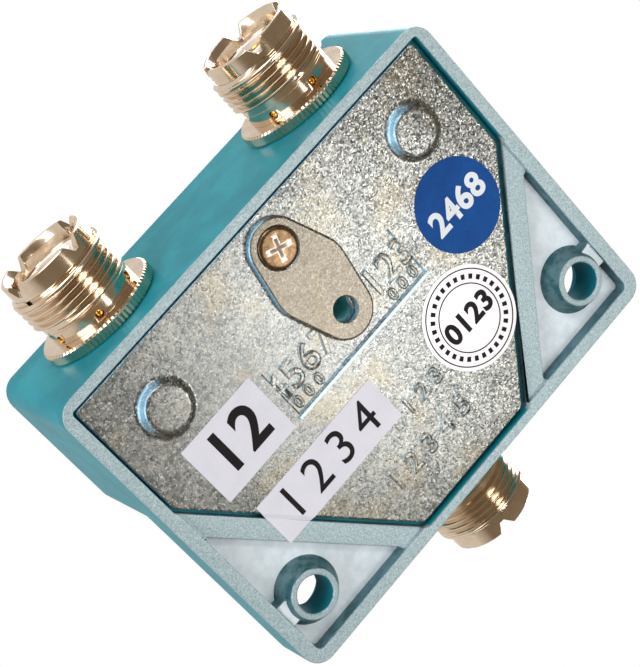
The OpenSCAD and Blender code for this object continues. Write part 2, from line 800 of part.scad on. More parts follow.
module insulator(which) {
    raised() color("#f2f0ea")
        at_socket(which)
            difference() {
                union() {
                    translate([0, 0, insulator_rear])
                        cylinder(d = inner_d - 2 * nest_gap, h = insulator_front - insulator_rear);
                    translate([0, 0, insulator_front - eps])
                        cylinder(d = collar_d, h = collar_h + eps);
                }
                translate([0, 0, insulator_rear - 1])
                    cylinder(d = contact_d + 2 * nest_gap, h = collar_front - insulator_rear + 2);
            }
}

module insulator_a() { insulator("a"); }
module insulator_b() { insulator("b"); }
module insulator_common() { insulator("common"); }

module centre_contact(which) {
    raised() color("#d9b765")
        at_socket(which)
            difference() {
                union() {
                    translate([0, 0, insulator_rear])
                        cylinder(d = contact_d, h = contact_front - insulator_rear);
                    translate([0, 0, tail_end])
                        cylinder(d = tail_d, h = tail_len + eps);
                }
                translate([0, 0, contact_front - contact_depth])
                    cylinder(d = contact_bore, h = contact_depth + 1);
                for (a = [0, 90])
                    rotate(a)
                        translate([-contact_d, -slit_w / 2, contact_front - slit_len])
                            cube([2 * contact_d, slit_w, slit_len + 1]);
                translate([-tail_d, -strip_t / 2 - slot_gap, tail_end - 1])
                    cube([2 * tail_d, strip_t + 2 * slot_gap, tail_slot + 1]);
            }
}

module contact_a() { centre_contact("a"); }
module contact_b() { centre_contact("b"); }
module contact_common() { centre_contact("common"); }

// ---- Fixed contact strips ----

// A strip from a tail's slot to its pad, in the plane of the sockets' axes
module fixed_strip(side) {
    tail_y = hh + tail_end;
    pad = [side * pad_r * cos(45), pad_r * sin(45)];
    root = [side * socket_pitch / 2, tail_y - 1.5 * strip_t - bend_in];
    run = pad - root;
    raised() color("#c9a25a")
        translate([0, 0, pad_lo])
            difference() {
                union() {
                    translate([root[0] - tail_d * tail_share / 2, root[1], 0])
                        cube([tail_d * tail_share, tail_y - root[1] + tail_slot - slot_end, strip_t]);
                    translate(root)
                        cylinder(d = strip_w, h = strip_t);
                    translate(root)
                        rotate(atan2(run[1], run[0]))
                            translate([0, -strip_w / 2, 0])
                                cube([norm(run), strip_w, strip_t]);
                    translate(pad)
                        cylinder(d = pad_d, h = strip_t);
                }
                translate([root[0], root[1], -1])
                    cylinder(d = strip_hole_d, h = strip_t + 2);
            }
}

module strip_a() { fixed_strip(-1); }
module strip_b() { fixed_strip(1); }

module strip_common() {
    tail_y = -hh - tail_end;
    ring_in = hub_neck_d / 2 + ring_gap;
    ring_out = ring_in + ring_w;
    step_y = -(blade_reach - step_back);
    raised() color("#c9a25a")
        difference() {
            union() {
                translate([-tail_d * tail_share / 2, tail_y - tail_slot + slot_end, pad_lo])
                    cube([tail_d * tail_share, tail_slot + strip_t, strip_t]);
                translate([-strip_w / 2, tail_y + slot_end, pad_lo])
                    cube([strip_w, step_y - tail_y - slot_end, strip_t]);
                translate([-strip_w / 2, step_y - strip_t, pad_lo])
                    cube([strip_w, strip_t, com_hi - pad_lo]);
                translate([-strip_w / 2, step_y - strip_t, com_lo])
                    cube([strip_w, -step_y + strip_t - ring_in, strip_t]);
                translate([0, 0, com_lo])
                    cylinder(r = ring_out, h = strip_t);
            }
            translate([0, 0, com_lo - 1])
                cylinder(r = ring_in, h = strip_t + 2);
        }
}

// ---- Rotor ----

module arm(angle, reach, width, lo, hi) {
    rotate(angle)
        translate([0, -width / 2, lo])
            cube([reach - width / 2, width, hi - lo]);
    rotate(angle)
        translate([reach - width / 2, 0, lo])
            cylinder(d = width, h = hi - lo);
}

module contact_blade() {
    ring_out = hub_neck_d / 2 + ring_gap + ring_w;
    raised() color("#d0ad62")
        difference() {
            union() {
                translate([0, 0, blade_lo])
                    cylinder(r = ring_out, h = blade_t);
                arm(pointer_a, blade_reach, blade_w, blade_lo, blade_hi);
            }
            translate([0, 0, blade_lo - 1])
                cylinder(d = hub_neck_d, h = blade_t + 2);
        }
}

module ground_yoke() {
    raised() color("#b9bdbf")
        difference() {
            union() {
                translate([0, 0, yoke_lo])
                    cylinder(d = yoke_d, h = yoke_t);
                for (a = [-90, 90])
                    arm(pointer_a + a, blade_reach, blade_w, yoke_lo, yoke_hi);
            }
            translate([0, 0, yoke_lo - 1])
                cylinder(d = shaft_d, h = yoke_t + 2);
        }
}

module rotor_hub() {
    raised() color("#e6e0cf")
        difference() {
            union() {
                translate([0, 0, yoke_hi])
                    cylinder(d = hub_neck_d, h = hub_lo - yoke_hi + eps);
                translate([0, 0, hub_lo])
                    cylinder(d = hub_d, h = hub_t);
            }
            translate([0, 0, yoke_hi - 1])
                cylinder(d = shaft_d, h = hub_hi - yoke_hi + 2);
        }
}

module detent_wheel() {
    raised() color("#a9adb0")
        difference() {
            union() {
                translate([0, 0, hub_hi])
                    cylinder(d = wheel_d, h = wheel_t);
                translate([0, 0, wheel_hi - eps])
                    cylinder(d = wheel_boss_d, h = boss_hi - wheel_hi + eps);
                rotate(pointer_a)
                    translate([0, -lug_w / 2, hub_hi])
                        cube([stop_r + stop_d / 2, lug_w, wheel_t]);
            }
            for (a = [0, throw_a])
                rotate(a - 90)
                    translate([wheel_d / 2 + notch_r * notch_out, 0, hub_hi - 1])
                        cylinder(r = notch_r, h = wheel_t + 2);
            translate([0, 0, hub_hi - 1])
                cylinder(d = shaft_d, h = boss_hi - hub_hi + 2);
        }
}

module detent_spring() {
    span = leaf_span + 2 * leaf_post - 2 * leaf_end_gap;
    bump = notch_r - bump_gap;
    raised() color("#b4b8ba")
        difference() {
            union() {
                translate([-span / 2, leaf_y - leaf_t, hub_hi + 0.1])
                    cube([span, leaf_t, wheel_t - 0.2]);
                translate([0, leaf_y, hub_hi + 0.1])
                    intersection() {
                        cylinder(r = min(bump, bump_r), h = wheel_t - 0.2);
                        translate([-bump_r - 1, -leaf_t, 0])
                            cube([2 * bump_r + 2, 2 * bump_r + 1, wheel_t]);
                    }
            }
            translate([0, leaf_y - leaf_t - 1, hub_hi])
                intersection() {
                    cylinder(r = bump_r + 0.1, h = wheel_t);
                    translate([-3, -1, 0])
                        cube([6, 1, wheel_t]);
                }
        }
}

module shaft() {
    raised() color("#b7babc")
        difference() {
            translate([0, 0, shaft_lo])
                cylinder(d = shaft_d, h = shaft_hi - shaft_lo);
            clip_groove(yoke_lo - clip_t);
            clip_groove(clip_lo);
            rotate(pointer_a + 90)
                translate([shaft_d / 2 - shaft_flat, -shaft_d, hollow_hi + flat_up])
                    cube([shaft_d, 2 * shaft_d, shaft_hi]);
        }
}

module clip_groove(lo) {
    translate([0, 0, lo])
        difference() {
            cylinder(d = shaft_d + 2, h = clip_t);
            translate([0, 0, -1])
                cylinder(d = shaft_d - 2 * groove_depth, h = clip_t + 2);
        }
}

// Open retaining ring that snaps into a groove of the shaft
module clip(lo) {
    raised() color("#8d9193")
        translate([0, 0, lo])
            difference() {
                cylinder(d = clip_d, h = clip_t);
                translate([0, 0, -1])
                    cylinder(d = shaft_d - 2 * groove_depth, h = clip_t + 2);
                rotate(pointer_a)
                    translate([0, -clip_mouth / 2, -1])
                        cube([clip_d, clip_mouth, clip_t + 2]);
            }
}

module inner_clip() { clip(yoke_lo - clip_t); }
module outer_clip() { clip(clip_lo); }

// ---- Bush and front pieces ----

module bush() {
    raised() color("#b9bcbe")
        difference() {
            union() {
                translate([0, 0, bush_lo])
                    cylinder(d = bush_flange_d, h = bush_flange_t);
                translate([0, 0, bush_lo])
                    cylinder(d = bush_d, h = bush_hi - bush_lo);
            }
            translate([0, 0, bush_lo - 1])
                cylinder(d = shaft_d + 2 * shaft_gap, h = bush_hi - bush_lo + 2);
        }
}

// A flat ring round the shaft or the bush
module ring(outer, inner, lo, hi) {
    translate([0, 0, lo])
        difference() {
            cylinder(d = outer, h = hi - lo);
            translate([0, 0, -1])
                cylinder(d = inner, h = hi - lo + 2);
        }
}

module thrust_washer() {
    raised() color("#c3a468")
        ring(wheel_boss_d, shaft_d + 4 * shaft_gap, thrust_lo, bush_lo);
}

module nut_washer() {
    raised() color("#c4c7c9")
        ring(washer_d, bush_d + 2 * shaft_gap, dial_hi, washer_hi);
}

module bush_nut() {
    raised() color("#bfc2c4")
        difference() {
            translate([0, 0, washer_hi])
                cylinder(d = nut_af / cos(30), h = nut_t, $fn = 6);
            translate([0, 0, washer_hi - 1])
                cylinder(d = bush_d, h = nut_t + 2);
        }
}

module dial_plate() {
    raised() color("#23272a")
        ring(dial_d, bush_d + 2 * shaft_gap, body_d, dial_hi);
}

// ---- Knob ----

module knob() {
    raised() color("#1d1f21")
        rotate(pointer_a)
            difference() {
                union() {
                    translate([0, 0, knob_lo])
                        cylinder(d = skirt_d, h = skirt_h);
                    translate([0, 0, skirt_hi - eps])
                        cylinder(d = knob_hub_d, h = knob_hub_h + eps);
                    translate([-bar_len / 2 + bar_w / 2, -bar_w / 2, skirt_hi - eps])
                        cube([bar_len - bar_w, bar_w, bar_h + eps]);
                    for (end = [-1, 1])
                        translate([end * (bar_len - bar_w) / 2, 0, skirt_hi - eps])
                            cylinder(d = bar_w, h = bar_h + eps);
                }
                translate([0, 0, knob_lo - 1])
                    cylinder(d = hollow_d, h = hollow_mid - knob_lo + 1);
                translate([0, 0, knob_lo])
                    cylinder(d = hollow_in, h = hollow_hi - knob_lo);
                translate([0, 0, hollow_hi - 1])
                    difference() {
                        cylinder(d = shaft_d, h = shaft_hi - hollow_hi + 1);
                        translate([-shaft_d, shaft_d / 2 - shaft_flat, 1 + flat_up])
                            cube([2 * shaft_d, shaft_d, shaft_hi]);
                    }
                translate([0, shaft_d / 2 - shaft_flat, set_z])
                    rotate([-90, 0, 0])
                        cylinder(d = set_d, h = knob_hub_d);
                translate([bar_len / 2 - pointer_len - pointer_in, -pointer_w / 2, bar_hi - pointer_t])
                    cube([pointer_len, pointer_w, pointer_t + 1]);
            }
}

module set_screw() {
    reach = knob_hub_d / 2 - shaft_d / 2 + shaft_flat - set_sunk;
    raised() color("#55585a")
        rotate(pointer_a)
            translate([0, shaft_d / 2 - shaft_flat, set_z])
                rotate([-90, 0, 0])
                    difference() {
                        cylinder(d = set_d, h = reach);
                        translate([0, 0, reach - hex_t])
                            cylinder(d = set_d * hex_share, h = hex_t + 1, $fn = 6);
                    }
}

module pointer_line() {
    raised() color("white")
        rotate(pointer_a)
            translate([bar_len / 2 - pointer_len - pointer_in, -pointer_w / 2, bar_hi - pointer_t])
                cube([pointer_len, pointer_w, pointer_t]);
}

// ---- Labels on the cover's outer face ----

module label_blue() {
    raised() color("#12509a")
        translate([blue_at[0], blue_at[1], cover_drop - label_t])
            cylinder(d = blue_d, h = label_t);
}

module label_silver() {
    raised() color("#d6d6da")
        translate([silver_at[0], silver_at[1], cover_drop - label_t])
            cylinder(d = silver_d, h = label_t);
}

module label_white() {
    raised() color("white")
        translate([white_at[0] - white_w / 2, white_at[1] - white_h / 2, cover_drop - label_t])
            cube([white_w, white_h, label_t]);
}

// The strip runs from the cover over the gap down to the ridge
module label_strip() {
    start = cover_d + 2 * eps;
    end = recess_d - 2 * eps;
    low = cover_drop;
    high = ridge_drop;
    raised() color("#eeecf3")
        intersection() {
            translate([strip_label_at[0] - strip_label_w / 2, strip_label_at[1] - strip_label_h / 2, 0])
                cube([strip_label_w, strip_label_h, cover_drop + 1]);
            rotate(slant_a - 90)
                rotate([90, 0, 0])
                    translate([0, 0, -body_w])
                        linear_extrude(2 * body_w)
                            polygon([[-body_w, low], [start, low], [end, high], [body_w, high],
                                [body_w, high - label_t], [end, high - label_t], [start, low - label_t],
                                [-body_w, low - label_t]]);
        }
}

housing();
rear_cover();
tab_plate();
tab_screw();
screw_insert();
spare_insert();
shell_a();
shell_b();
shell_common();
insulator_a();
insulator_b();
insulator_common();
contact_a();
contact_b();
contact_common();
strip_a();
strip_b();
strip_common();
contact_blade();
ground_yoke();
rotor_hub();
detent_wheel();
detent_spring();
shaft();
inner_clip();
outer_clip();
bush();
thrust_washer();
nut_washer();
bush_nut();
dial_plate();
knob();
set_screw();
pointer_line();
label_blue();
label_silver();
label_white();
label_strip();
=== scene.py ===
"""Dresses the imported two-way coaxial antenna switch for its photograph.

The switch lies on its back: z = 0 is the plane of its four feet, two buttons and two
ear bosses, and +z points to the knob. Each piece is modelled from the height of the
back rim and is lifted into its place when it joins the assembly. Lengths in the
classes are millimetres, and MM turns them into the metres of Blender's objects. Every
finished piece has its place in its mesh, so its object sits at the origin.
"""

import json
import logging
import math
from dataclasses import dataclass
from enum import Enum
from typing import Any, Callable, Iterable, Sequence

import bmesh
import bpy
from mathutils import Matrix, Vector

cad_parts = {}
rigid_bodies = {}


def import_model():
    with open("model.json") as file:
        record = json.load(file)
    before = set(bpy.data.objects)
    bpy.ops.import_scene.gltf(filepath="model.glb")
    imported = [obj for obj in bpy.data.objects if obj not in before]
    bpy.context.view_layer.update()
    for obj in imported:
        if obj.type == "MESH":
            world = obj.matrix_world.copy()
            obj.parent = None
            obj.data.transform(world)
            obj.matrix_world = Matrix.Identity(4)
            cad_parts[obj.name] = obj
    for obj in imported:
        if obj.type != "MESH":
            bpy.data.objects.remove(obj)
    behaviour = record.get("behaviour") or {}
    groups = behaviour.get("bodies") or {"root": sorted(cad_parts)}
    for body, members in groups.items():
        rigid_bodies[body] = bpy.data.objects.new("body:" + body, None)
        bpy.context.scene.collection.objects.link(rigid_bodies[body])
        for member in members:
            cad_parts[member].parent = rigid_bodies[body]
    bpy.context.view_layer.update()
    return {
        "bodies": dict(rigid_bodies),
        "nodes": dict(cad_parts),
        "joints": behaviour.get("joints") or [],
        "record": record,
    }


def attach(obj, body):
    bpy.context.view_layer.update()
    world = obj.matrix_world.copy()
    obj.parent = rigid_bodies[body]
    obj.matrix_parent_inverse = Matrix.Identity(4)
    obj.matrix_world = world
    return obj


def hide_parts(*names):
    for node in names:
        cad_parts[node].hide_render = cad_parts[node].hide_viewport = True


LOG = logging.getLogger("antenna_switch")
MM = 0.001
Point = tuple[float, float]
Colour = tuple[float, float, float]
Piece = bpy.types.Object


class Cut(Enum):
    """What one closed shape does to another."""

    AWAY = "DIFFERENCE"
    ADD = "UNION"


class Way(Enum):
    """The three places of a coaxial socket, by the ending of their nodes' names."""

    A = "a"
    B = "b"
    COMMON = "common"


# ---------------------------------------------------------------- modelling


def moved(x: float = 0.0, y: float = 0.0, z: float = 0.0, turn: float = 0.0, axis: str = "Z") -> Matrix:
    """A turn about an axis through the origin, and then a move.

    Args:
        x: Move along x, in millimetres.
        y: Move along y.
        z: Move along z.
        turn: The turn, in degrees.
        axis: Name of the axis.

    Returns:
        The matrix, in metres.
    """
    return Matrix.Translation((x * MM, y * MM, z * MM)) @ Matrix.Rotation(math.radians(turn), 4, axis)


def box(x0: float, y0: float, x1: float, y1: float) -> list[Point]:
    """The four corners between two opposite ones, anticlockwise."""
    return [(x0, y0), (x1, y0), (x1, y1), (x0, y1)]


class Bench:
    """Blender's own modelling operators, as a maker uses them at the bench."""

    @staticmethod
    def rest() -> None:
        """Leaves edit mode, with nothing selected."""
        if bpy.context.object and bpy.context.object.mode != "OBJECT":
            bpy.ops.object.mode_set(mode="OBJECT")
        bpy.ops.object.select_all(action="DESELECT")

    @classmethod
    def take(cls, piece: Piece) -> Piece:
        """Selects one piece alone and makes it the active one.

        Args:
            piece: The piece.

        Returns:
            The same piece.
        """
        cls.rest()
        piece.select_set(True)
        bpy.context.view_layer.objects.active = piece
        return piece

    @classmethod
    def outline(cls, name: str, points: Sequence[Point], z: float, filled: bool = True) -> Piece:
        """Lays a flat closed outline.

        Args:
            name: The piece's name.
            points: Corners of the outline, in order, in millimetres.
            z: Height of the outline.
            filled: Whether the outline gets a face.

        Returns:
            The new object, with one face or one closed line.
        """
        cls.rest()
        fill = "NGON" if filled else "NOTHING"
        bpy.ops.mesh.primitive_circle_add(vertices=len(points), radius=MM, fill_type=fill)
        piece = bpy.context.object
        piece.name = name
        for vertex, (x, y) in zip(piece.data.vertices, points):
            vertex.co = (x * MM, y * MM, z * MM)
        piece.data.update()
        return piece

    @classmethod
    def prism(
        cls,
        name: str,
        points: Sequence[Point],
        low: float,
        high: float,
        scale: float = 1.0,
        about: Point = (0, 0),
    ) -> Piece:
        """Raises a flat outline into a block, which may taper.

        Args:
            name: The piece's name.
            points: Corners of the outline, in millimetres.
            low: Height of the outline itself.
            high: Height of the other end.
            scale: Size of the other end, as a share of the outline.
            about: Point that the taper closes on.

        Returns:
            A closed block with its faces outward.
        """
        return cls.stack(name, points, [(low, 1.0), (high, scale)], about)

    @classmethod
    def stack(
        cls, name: str, points: Sequence[Point], levels: Sequence[Point], about: Point = (0, 0)
    ) -> Piece:
        """Raises a flat outline through several levels, each with a size of its own.

        Args:
            name: The piece's name.
            points: Corners of the outline, in millimetres.
            levels: Height of each level and its size, as a share of the outline.
            about: Point that the sizes close on.

        Returns:
            A closed block with its faces outward.
        """
        piece = cls.outline(name, points, levels[0][0])
        bpy.ops.object.mode_set(mode="EDIT")
        bpy.ops.mesh.select_all(action="SELECT")
        for (low, size), (high, next_size) in zip(levels, levels[1:]):
            bpy.ops.mesh.extrude_region_move(TRANSFORM_OT_translate={"value": (0, 0, (high - low) * MM)})
            if next_size != size:
                share = next_size / size
                middle = (about[0] * MM, about[1] * MM, high * MM)
                bpy.ops.transform.resize(value=(share, share, 1), center_override=middle)
        bpy.ops.mesh.select_all(action="SELECT")
        bpy.ops.mesh.normals_make_consistent(inside=False)
        bpy.ops.object.mode_set(mode="OBJECT")
        return piece

    @classmethod
    def upright(cls, name: str, section: Sequence[Point]) -> Piece:
        """Lays a closed line in the x-z plane.

        Args:
            name: The piece's name.
            section: Radius and height of each corner, in millimetres.

        Returns:
            The closed line, without a face.
        """
        piece = cls.outline(name, [(r, 0) for r, _ in section], 0, filled=False)
        for vertex, (_, z) in zip(piece.data.vertices, section):
            vertex.co.z = z * MM
        return piece

    @classmethod
    def lathe(cls, name: str, section: Sequence[Point], steps: int = 96, at: Point = (0, 0)) -> Piece:
        """Turns a closed section round the z axis.

        Args:
            name: The piece's name.
            section: Radius and height of each corner, in millimetres.
            steps: Number of steps in a whole turn.
            at: Where the axis stands.

        Returns:
            A closed turned piece with its faces outward.
        """
        piece = cls.upright(name, section)
        bpy.ops.object.mode_set(mode="EDIT")
        bpy.ops.mesh.select_all(action="SELECT")
        bpy.ops.mesh.spin(steps=steps, angle=math.tau, center=(0, 0, 0), axis=(0, 0, 1))
        bpy.ops.mesh.select_all(action="SELECT")
        bpy.ops.mesh.remove_doubles(threshold=0.002 * MM)
        bpy.ops.mesh.dissolve_degenerate(threshold=0.001 * MM)
        bpy.ops.mesh.normals_make_consistent(inside=False)
        bpy.ops.object.mode_set(mode="OBJECT")
        if any(at):
            cls.place(piece, moved(*at))
        return piece

    @classmethod
    def rod(
        cls, name: str, radius: float, low: float, high: float, steps: int = 64, at: Point = (0, 0)
    ) -> Piece:
        """Turns a plain rod.

        Args:
            name: The piece's name.
            radius: Its radius, in millimetres.
            low: Height of its foot.
            high: Height of its top.
            steps: Number of steps in a whole turn.
            at: Where its axis stands.

        Returns:
            The rod.
        """
        return cls.lathe(name, [(0, low), (radius, low), (radius, high), (0, high)], steps, at)

    @classmethod
    def flute(cls, piece: Piece, count: int, radius: float, share: float) -> Piece:
        """Presses every second corner of a turned edge inwards.

        Args:
            piece: A piece that was turned in twice as many steps as it gets flutes.
            count: Number of flutes.
            radius: Corners farther out than this, in millimetres, are pressed.
            share: Their new radius, as a share of the old one.

        Returns:
            The piece.
        """
        cls.take(piece)
        bpy.ops.object.mode_set(mode="EDIT")
        bpy.ops.mesh.select_mode(type="VERT")
        bpy.ops.mesh.select_all(action="DESELECT")
        mesh = bmesh.from_edit_mesh(piece.data)
        for vertex in mesh.verts:
            spoke = math.atan2(vertex.co.y, vertex.co.x) / math.tau * 2 * count
            vertex.select = vertex.co.xy.length > radius * MM and round(spoke) % 2 == 1
        bmesh.update_edit_mesh(piece.data)
        bpy.ops.transform.resize(value=(share, share, 1), center_override=(0, 0, 0))
        bpy.ops.object.mode_set(mode="OBJECT")
        return piece

    @classmethod
    def place(cls, piece: Piece, matrix: Matrix) -> Piece:
        """Moves a piece and writes its new place into its mesh.

        Args:
            piece: The piece.
            matrix: The move, in metres.

        Returns:
            The same piece.
        """
        cls.take(piece)
        piece.matrix_world = matrix @ piece.matrix_world
        bpy.ops.object.transform_apply(location=True, rotation=True, scale=True)
        return piece

    @classmethod
    def carve(cls, piece: Piece, tool: Piece, how: Cut = Cut.AWAY) -> Piece:
        """Cuts a tool's shape from a piece, or melts it on, and removes the tool.

        Args:
            piece: The piece that changes.
            tool: A closed shape, which is used up.
            how: Whether the tool cuts or adds.

        Returns:
            The same piece.
        """
        cls.take(piece)
        step = piece.modifiers.new("carve", "BOOLEAN")
        step.operation = how.value
        step.solver = "EXACT"
        step.object = tool
        bpy.ops.object.modifier_apply(modifier=step.name)
        bpy.data.objects.remove(tool)
        return piece

    @classmethod
    def tidy(cls, piece: Piece) -> Piece:
        """Merges doubles and dissolves the needless edges that cuts leave on flat faces.

        Args:
            piece: The piece.

        Returns:
            The same piece.
        """
        cls.take(piece)
        bpy.ops.object.mode_set(mode="EDIT")
        bpy.ops.mesh.select_all(action="SELECT")
        bpy.ops.mesh.remove_doubles(threshold=0.004 * MM)
        bpy.ops.mesh.dissolve_limited(angle_limit=math.radians(0.4))
        bpy.ops.object.mode_set(mode="OBJECT")
        return piece

    @classmethod
    def soften(cls, piece: Piece, width: float, segments: int = 2, angle: float = 30) -> Piece:
        """Rounds every edge that is sharper than an angle, in degrees, by a width in millimetres.

        Args:
            piece: The piece.
            width: Width of the round, in millimetres.
            segments: Number of faces across the round.
            angle: Edges sharper than this, in degrees, are rounded.

        Returns:
            The same piece.
        """
        cls.tidy(piece)
        step = piece.modifiers.new("soften", "BEVEL")
        step.width = width * MM
        step.segments = segments
        step.limit_method = "ANGLE"
        step.angle_limit = math.radians(angle)
        step.use_clamp_overlap = False
        bpy.ops.object.modifier_apply(modifier=step.name)
        return piece

    @classmethod
    def soften_where(
        cls, piece: Piece, test: Callable[[Vector, Vector], bool], width: float, segments: int = 3
    ) -> Piece:
        """Rounds the edges whose two ends, in millimetres, pass a test.

        Args:
            piece: The piece.
            test: Tells from an edge's two ends whether it is rounded.
            width: Width of the round, in millimetres.
            segments: Number of faces across the round.

        Returns:
            The same piece.
        """
        cls.take(piece)
        bpy.ops.object.mode_set(mode="EDIT")
        bpy.ops.mesh.select_mode(type="EDGE")
        bpy.ops.mesh.select_all(action="DESELECT")
        mesh = bmesh.from_edit_mesh(piece.data)
        for edge in mesh.edges:
            sharp = len(edge.link_faces) == 2 and edge.calc_face_angle() > math.radians(25)
            edge.select = sharp and test(edge.verts[0].co / MM, edge.verts[1].co / MM)
        bmesh.update_edit_mesh(piece.data)
        size = {"offset": width * MM, "segments": segments, "profile": 0.5}
        bpy.ops.mesh.bevel(affect="EDGES", clamp_overlap=False, **size)
        bpy.ops.object.mode_set(mode="OBJECT")
        return piece

    @classmethod
    def smooth(cls, piece: Piece, angle: float = 32) -> Piece:
        """Merges doubles, turns the faces outward and shades all but the sharp edges smooth.

        Args:
            piece: The piece.
            angle: Edges sharper than this, in degrees, stay sharp.

        Returns:
            The piece, whose large faces look flat beside their rounded edges.
        """
        cls.take(piece)
        bpy.ops.object.mode_set(mode="EDIT")
        bpy.ops.mesh.select_all(action="SELECT")
        bpy.ops.mesh.remove_doubles(threshold=0.001 * MM)
        bpy.ops.mesh.normals_make_consistent(inside=False)
        bpy.ops.object.mode_set(mode="OBJECT")
        bpy.ops.object.shade_smooth_by_angle(angle=math.radians(angle))
        step = piece.modifiers.new("weigh", "WEIGHTED_NORMAL")
        step.keep_sharp = True
        bpy.ops.object.modifier_apply(modifier=step.name)
        return piece

    @classmethod
    def join(cls, name: str, pieces: Sequence[Piece]) -> Piece:
        """Joins pieces into the first one and names it.

        Args:
            name: Name of the joined piece.
            pieces: The pieces, of which the first takes up the others.

        Returns:
            The joined piece.
        """
        cls.rest()
        for piece in pieces:
            piece.select_set(True)
        bpy.context.view_layer.objects.active = pieces[0]
        if len(pieces) > 1:
            bpy.ops.object.join()
        pieces[0].name = name
        pieces[0].data.name = name
        return pieces[0]

    @classmethod
    def copy(cls, piece: Piece, name: str) -> Piece:
        """Copies a piece, with a mesh of its own.

        Args:
            piece: The model.
            name: Name of the copy.

        Returns:
            The copy.
        """
        twin = piece.copy()
        twin.data = piece.data.copy()
        twin.name = name
        bpy.context.scene.collection.objects.link(twin)
        return twin

    @classmethod
    def lettering(
        cls,
        name: str,
        words: str,
        size: float,
        depth: float,
        spacing: float = 1.0,
        bold: float = 0.0,
        edge: float = 0.0,
    ) -> Piece:
        """Makes plain numbers as a solid mesh round the origin.

        Args:
            name: The piece's name.
            words: The numbers.
            size: Height of the type, in millimetres.
            depth: Thickness of the numbers.
            spacing: Share of the usual distance between two characters.
            bold: Width added at each side of a stroke.
            edge: Width of the sloped edge round each stroke.

        Returns:
            A mesh with its middle at the origin.
        """
        cls.rest()
        bpy.ops.object.text_add(location=(0, 0, 0))
        piece = bpy.context.object
        piece.name = name
        piece.data.body = words
        piece.data.size = size * MM
        piece.data.align_x = "CENTER"
        piece.data.align_y = "CENTER"
        piece.data.space_character = spacing
        piece.data.offset = bold * MM
        piece.data.extrude = (depth / 2 - edge) * MM
        piece.data.bevel_depth = edge * MM
        piece.data.bevel_resolution = 1
        piece.data.resolution_u = 6
        bpy.ops.object.convert(target="MESH")
        bpy.context.object.name = name
        return cls.smooth(bpy.context.object, 30)


def arc(centre: Point, radius: float, start: float, end: float, steps: int) -> list[Point]:
    """Points on an arc, angles in degrees, both ends included.

    Args:
        centre: Middle of the arc.
        radius: Its radius.
        start: Angle of the first point, in degrees.
        end: Angle of the last point.
        steps: Number of steps between them.

    Returns:
        The points, with both ends.
    """
    turns = [math.radians(start + (end - start) * i / steps) for i in range(steps + 1)]
    return [(centre[0] + radius * math.cos(turn), centre[1] + radius * math.sin(turn)) for turn in turns]


def rounded(corners: Sequence[tuple[float, float, float]], steps: int = 8) -> list[Point]:
    """Rounds the corners of an outline.

    Args:
        corners: x, y and radius of each corner, in order.
        steps: Number of steps in each round.

    Returns:
        The outline's points.
    """
    made: list[Point] = []
    count = len(corners)
    for i, (x, y, radius) in enumerate(corners):
        here = Vector((x, y))
        back = (Vector(corners[i - 1][:2]) - here).normalized()
        on = (Vector(corners[(i + 1) % count][:2]) - here).normalized()
        if radius <= 0:
            made.append((x, y))
            continue
        half = back.angle(on) / 2
        centre = here + (back + on).normalized() * (radius / math.sin(half))
        first = here + back * (radius / math.tan(half)) - centre
        last = here + on * (radius / math.tan(half)) - centre
        turn = first.angle_signed(last)
        for k in range(steps + 1):
            spoke = Matrix.Rotation(-turn * k / steps, 2) @ first
            made.append((centre.x + spoke.x, centre.y + spoke.y))
    return made


def hull(points: Iterable[Point]) -> list[Point]:
    """The convex outline round a set of points, anticlockwise.

    Args:
        points: The points.

    Returns:
        The outline's corners.
    """
    ordered = sorted(set(points))

    def half(row: Sequence[Point]) -> list[Point]:
        """One side of the outline.

        Args:
            row: The points, sorted along x.

        Returns:
            The corners on that side, without the last one.
        """
        kept: list[Point] = []
        for p in row:
            while len(kept) > 1:
                a, b = kept[-2], kept[-1]
                if (b[0] - a[0]) * (p[1] - a[1]) - (b[1] - a[1]) * (p[0] - a[0]) > 0:
                    break
                kept.pop()
            kept.append(p)
        return kept[:-1]

    return half(ordered) + half(ordered[::-1])


# ---------------------------------------------------------------- shading


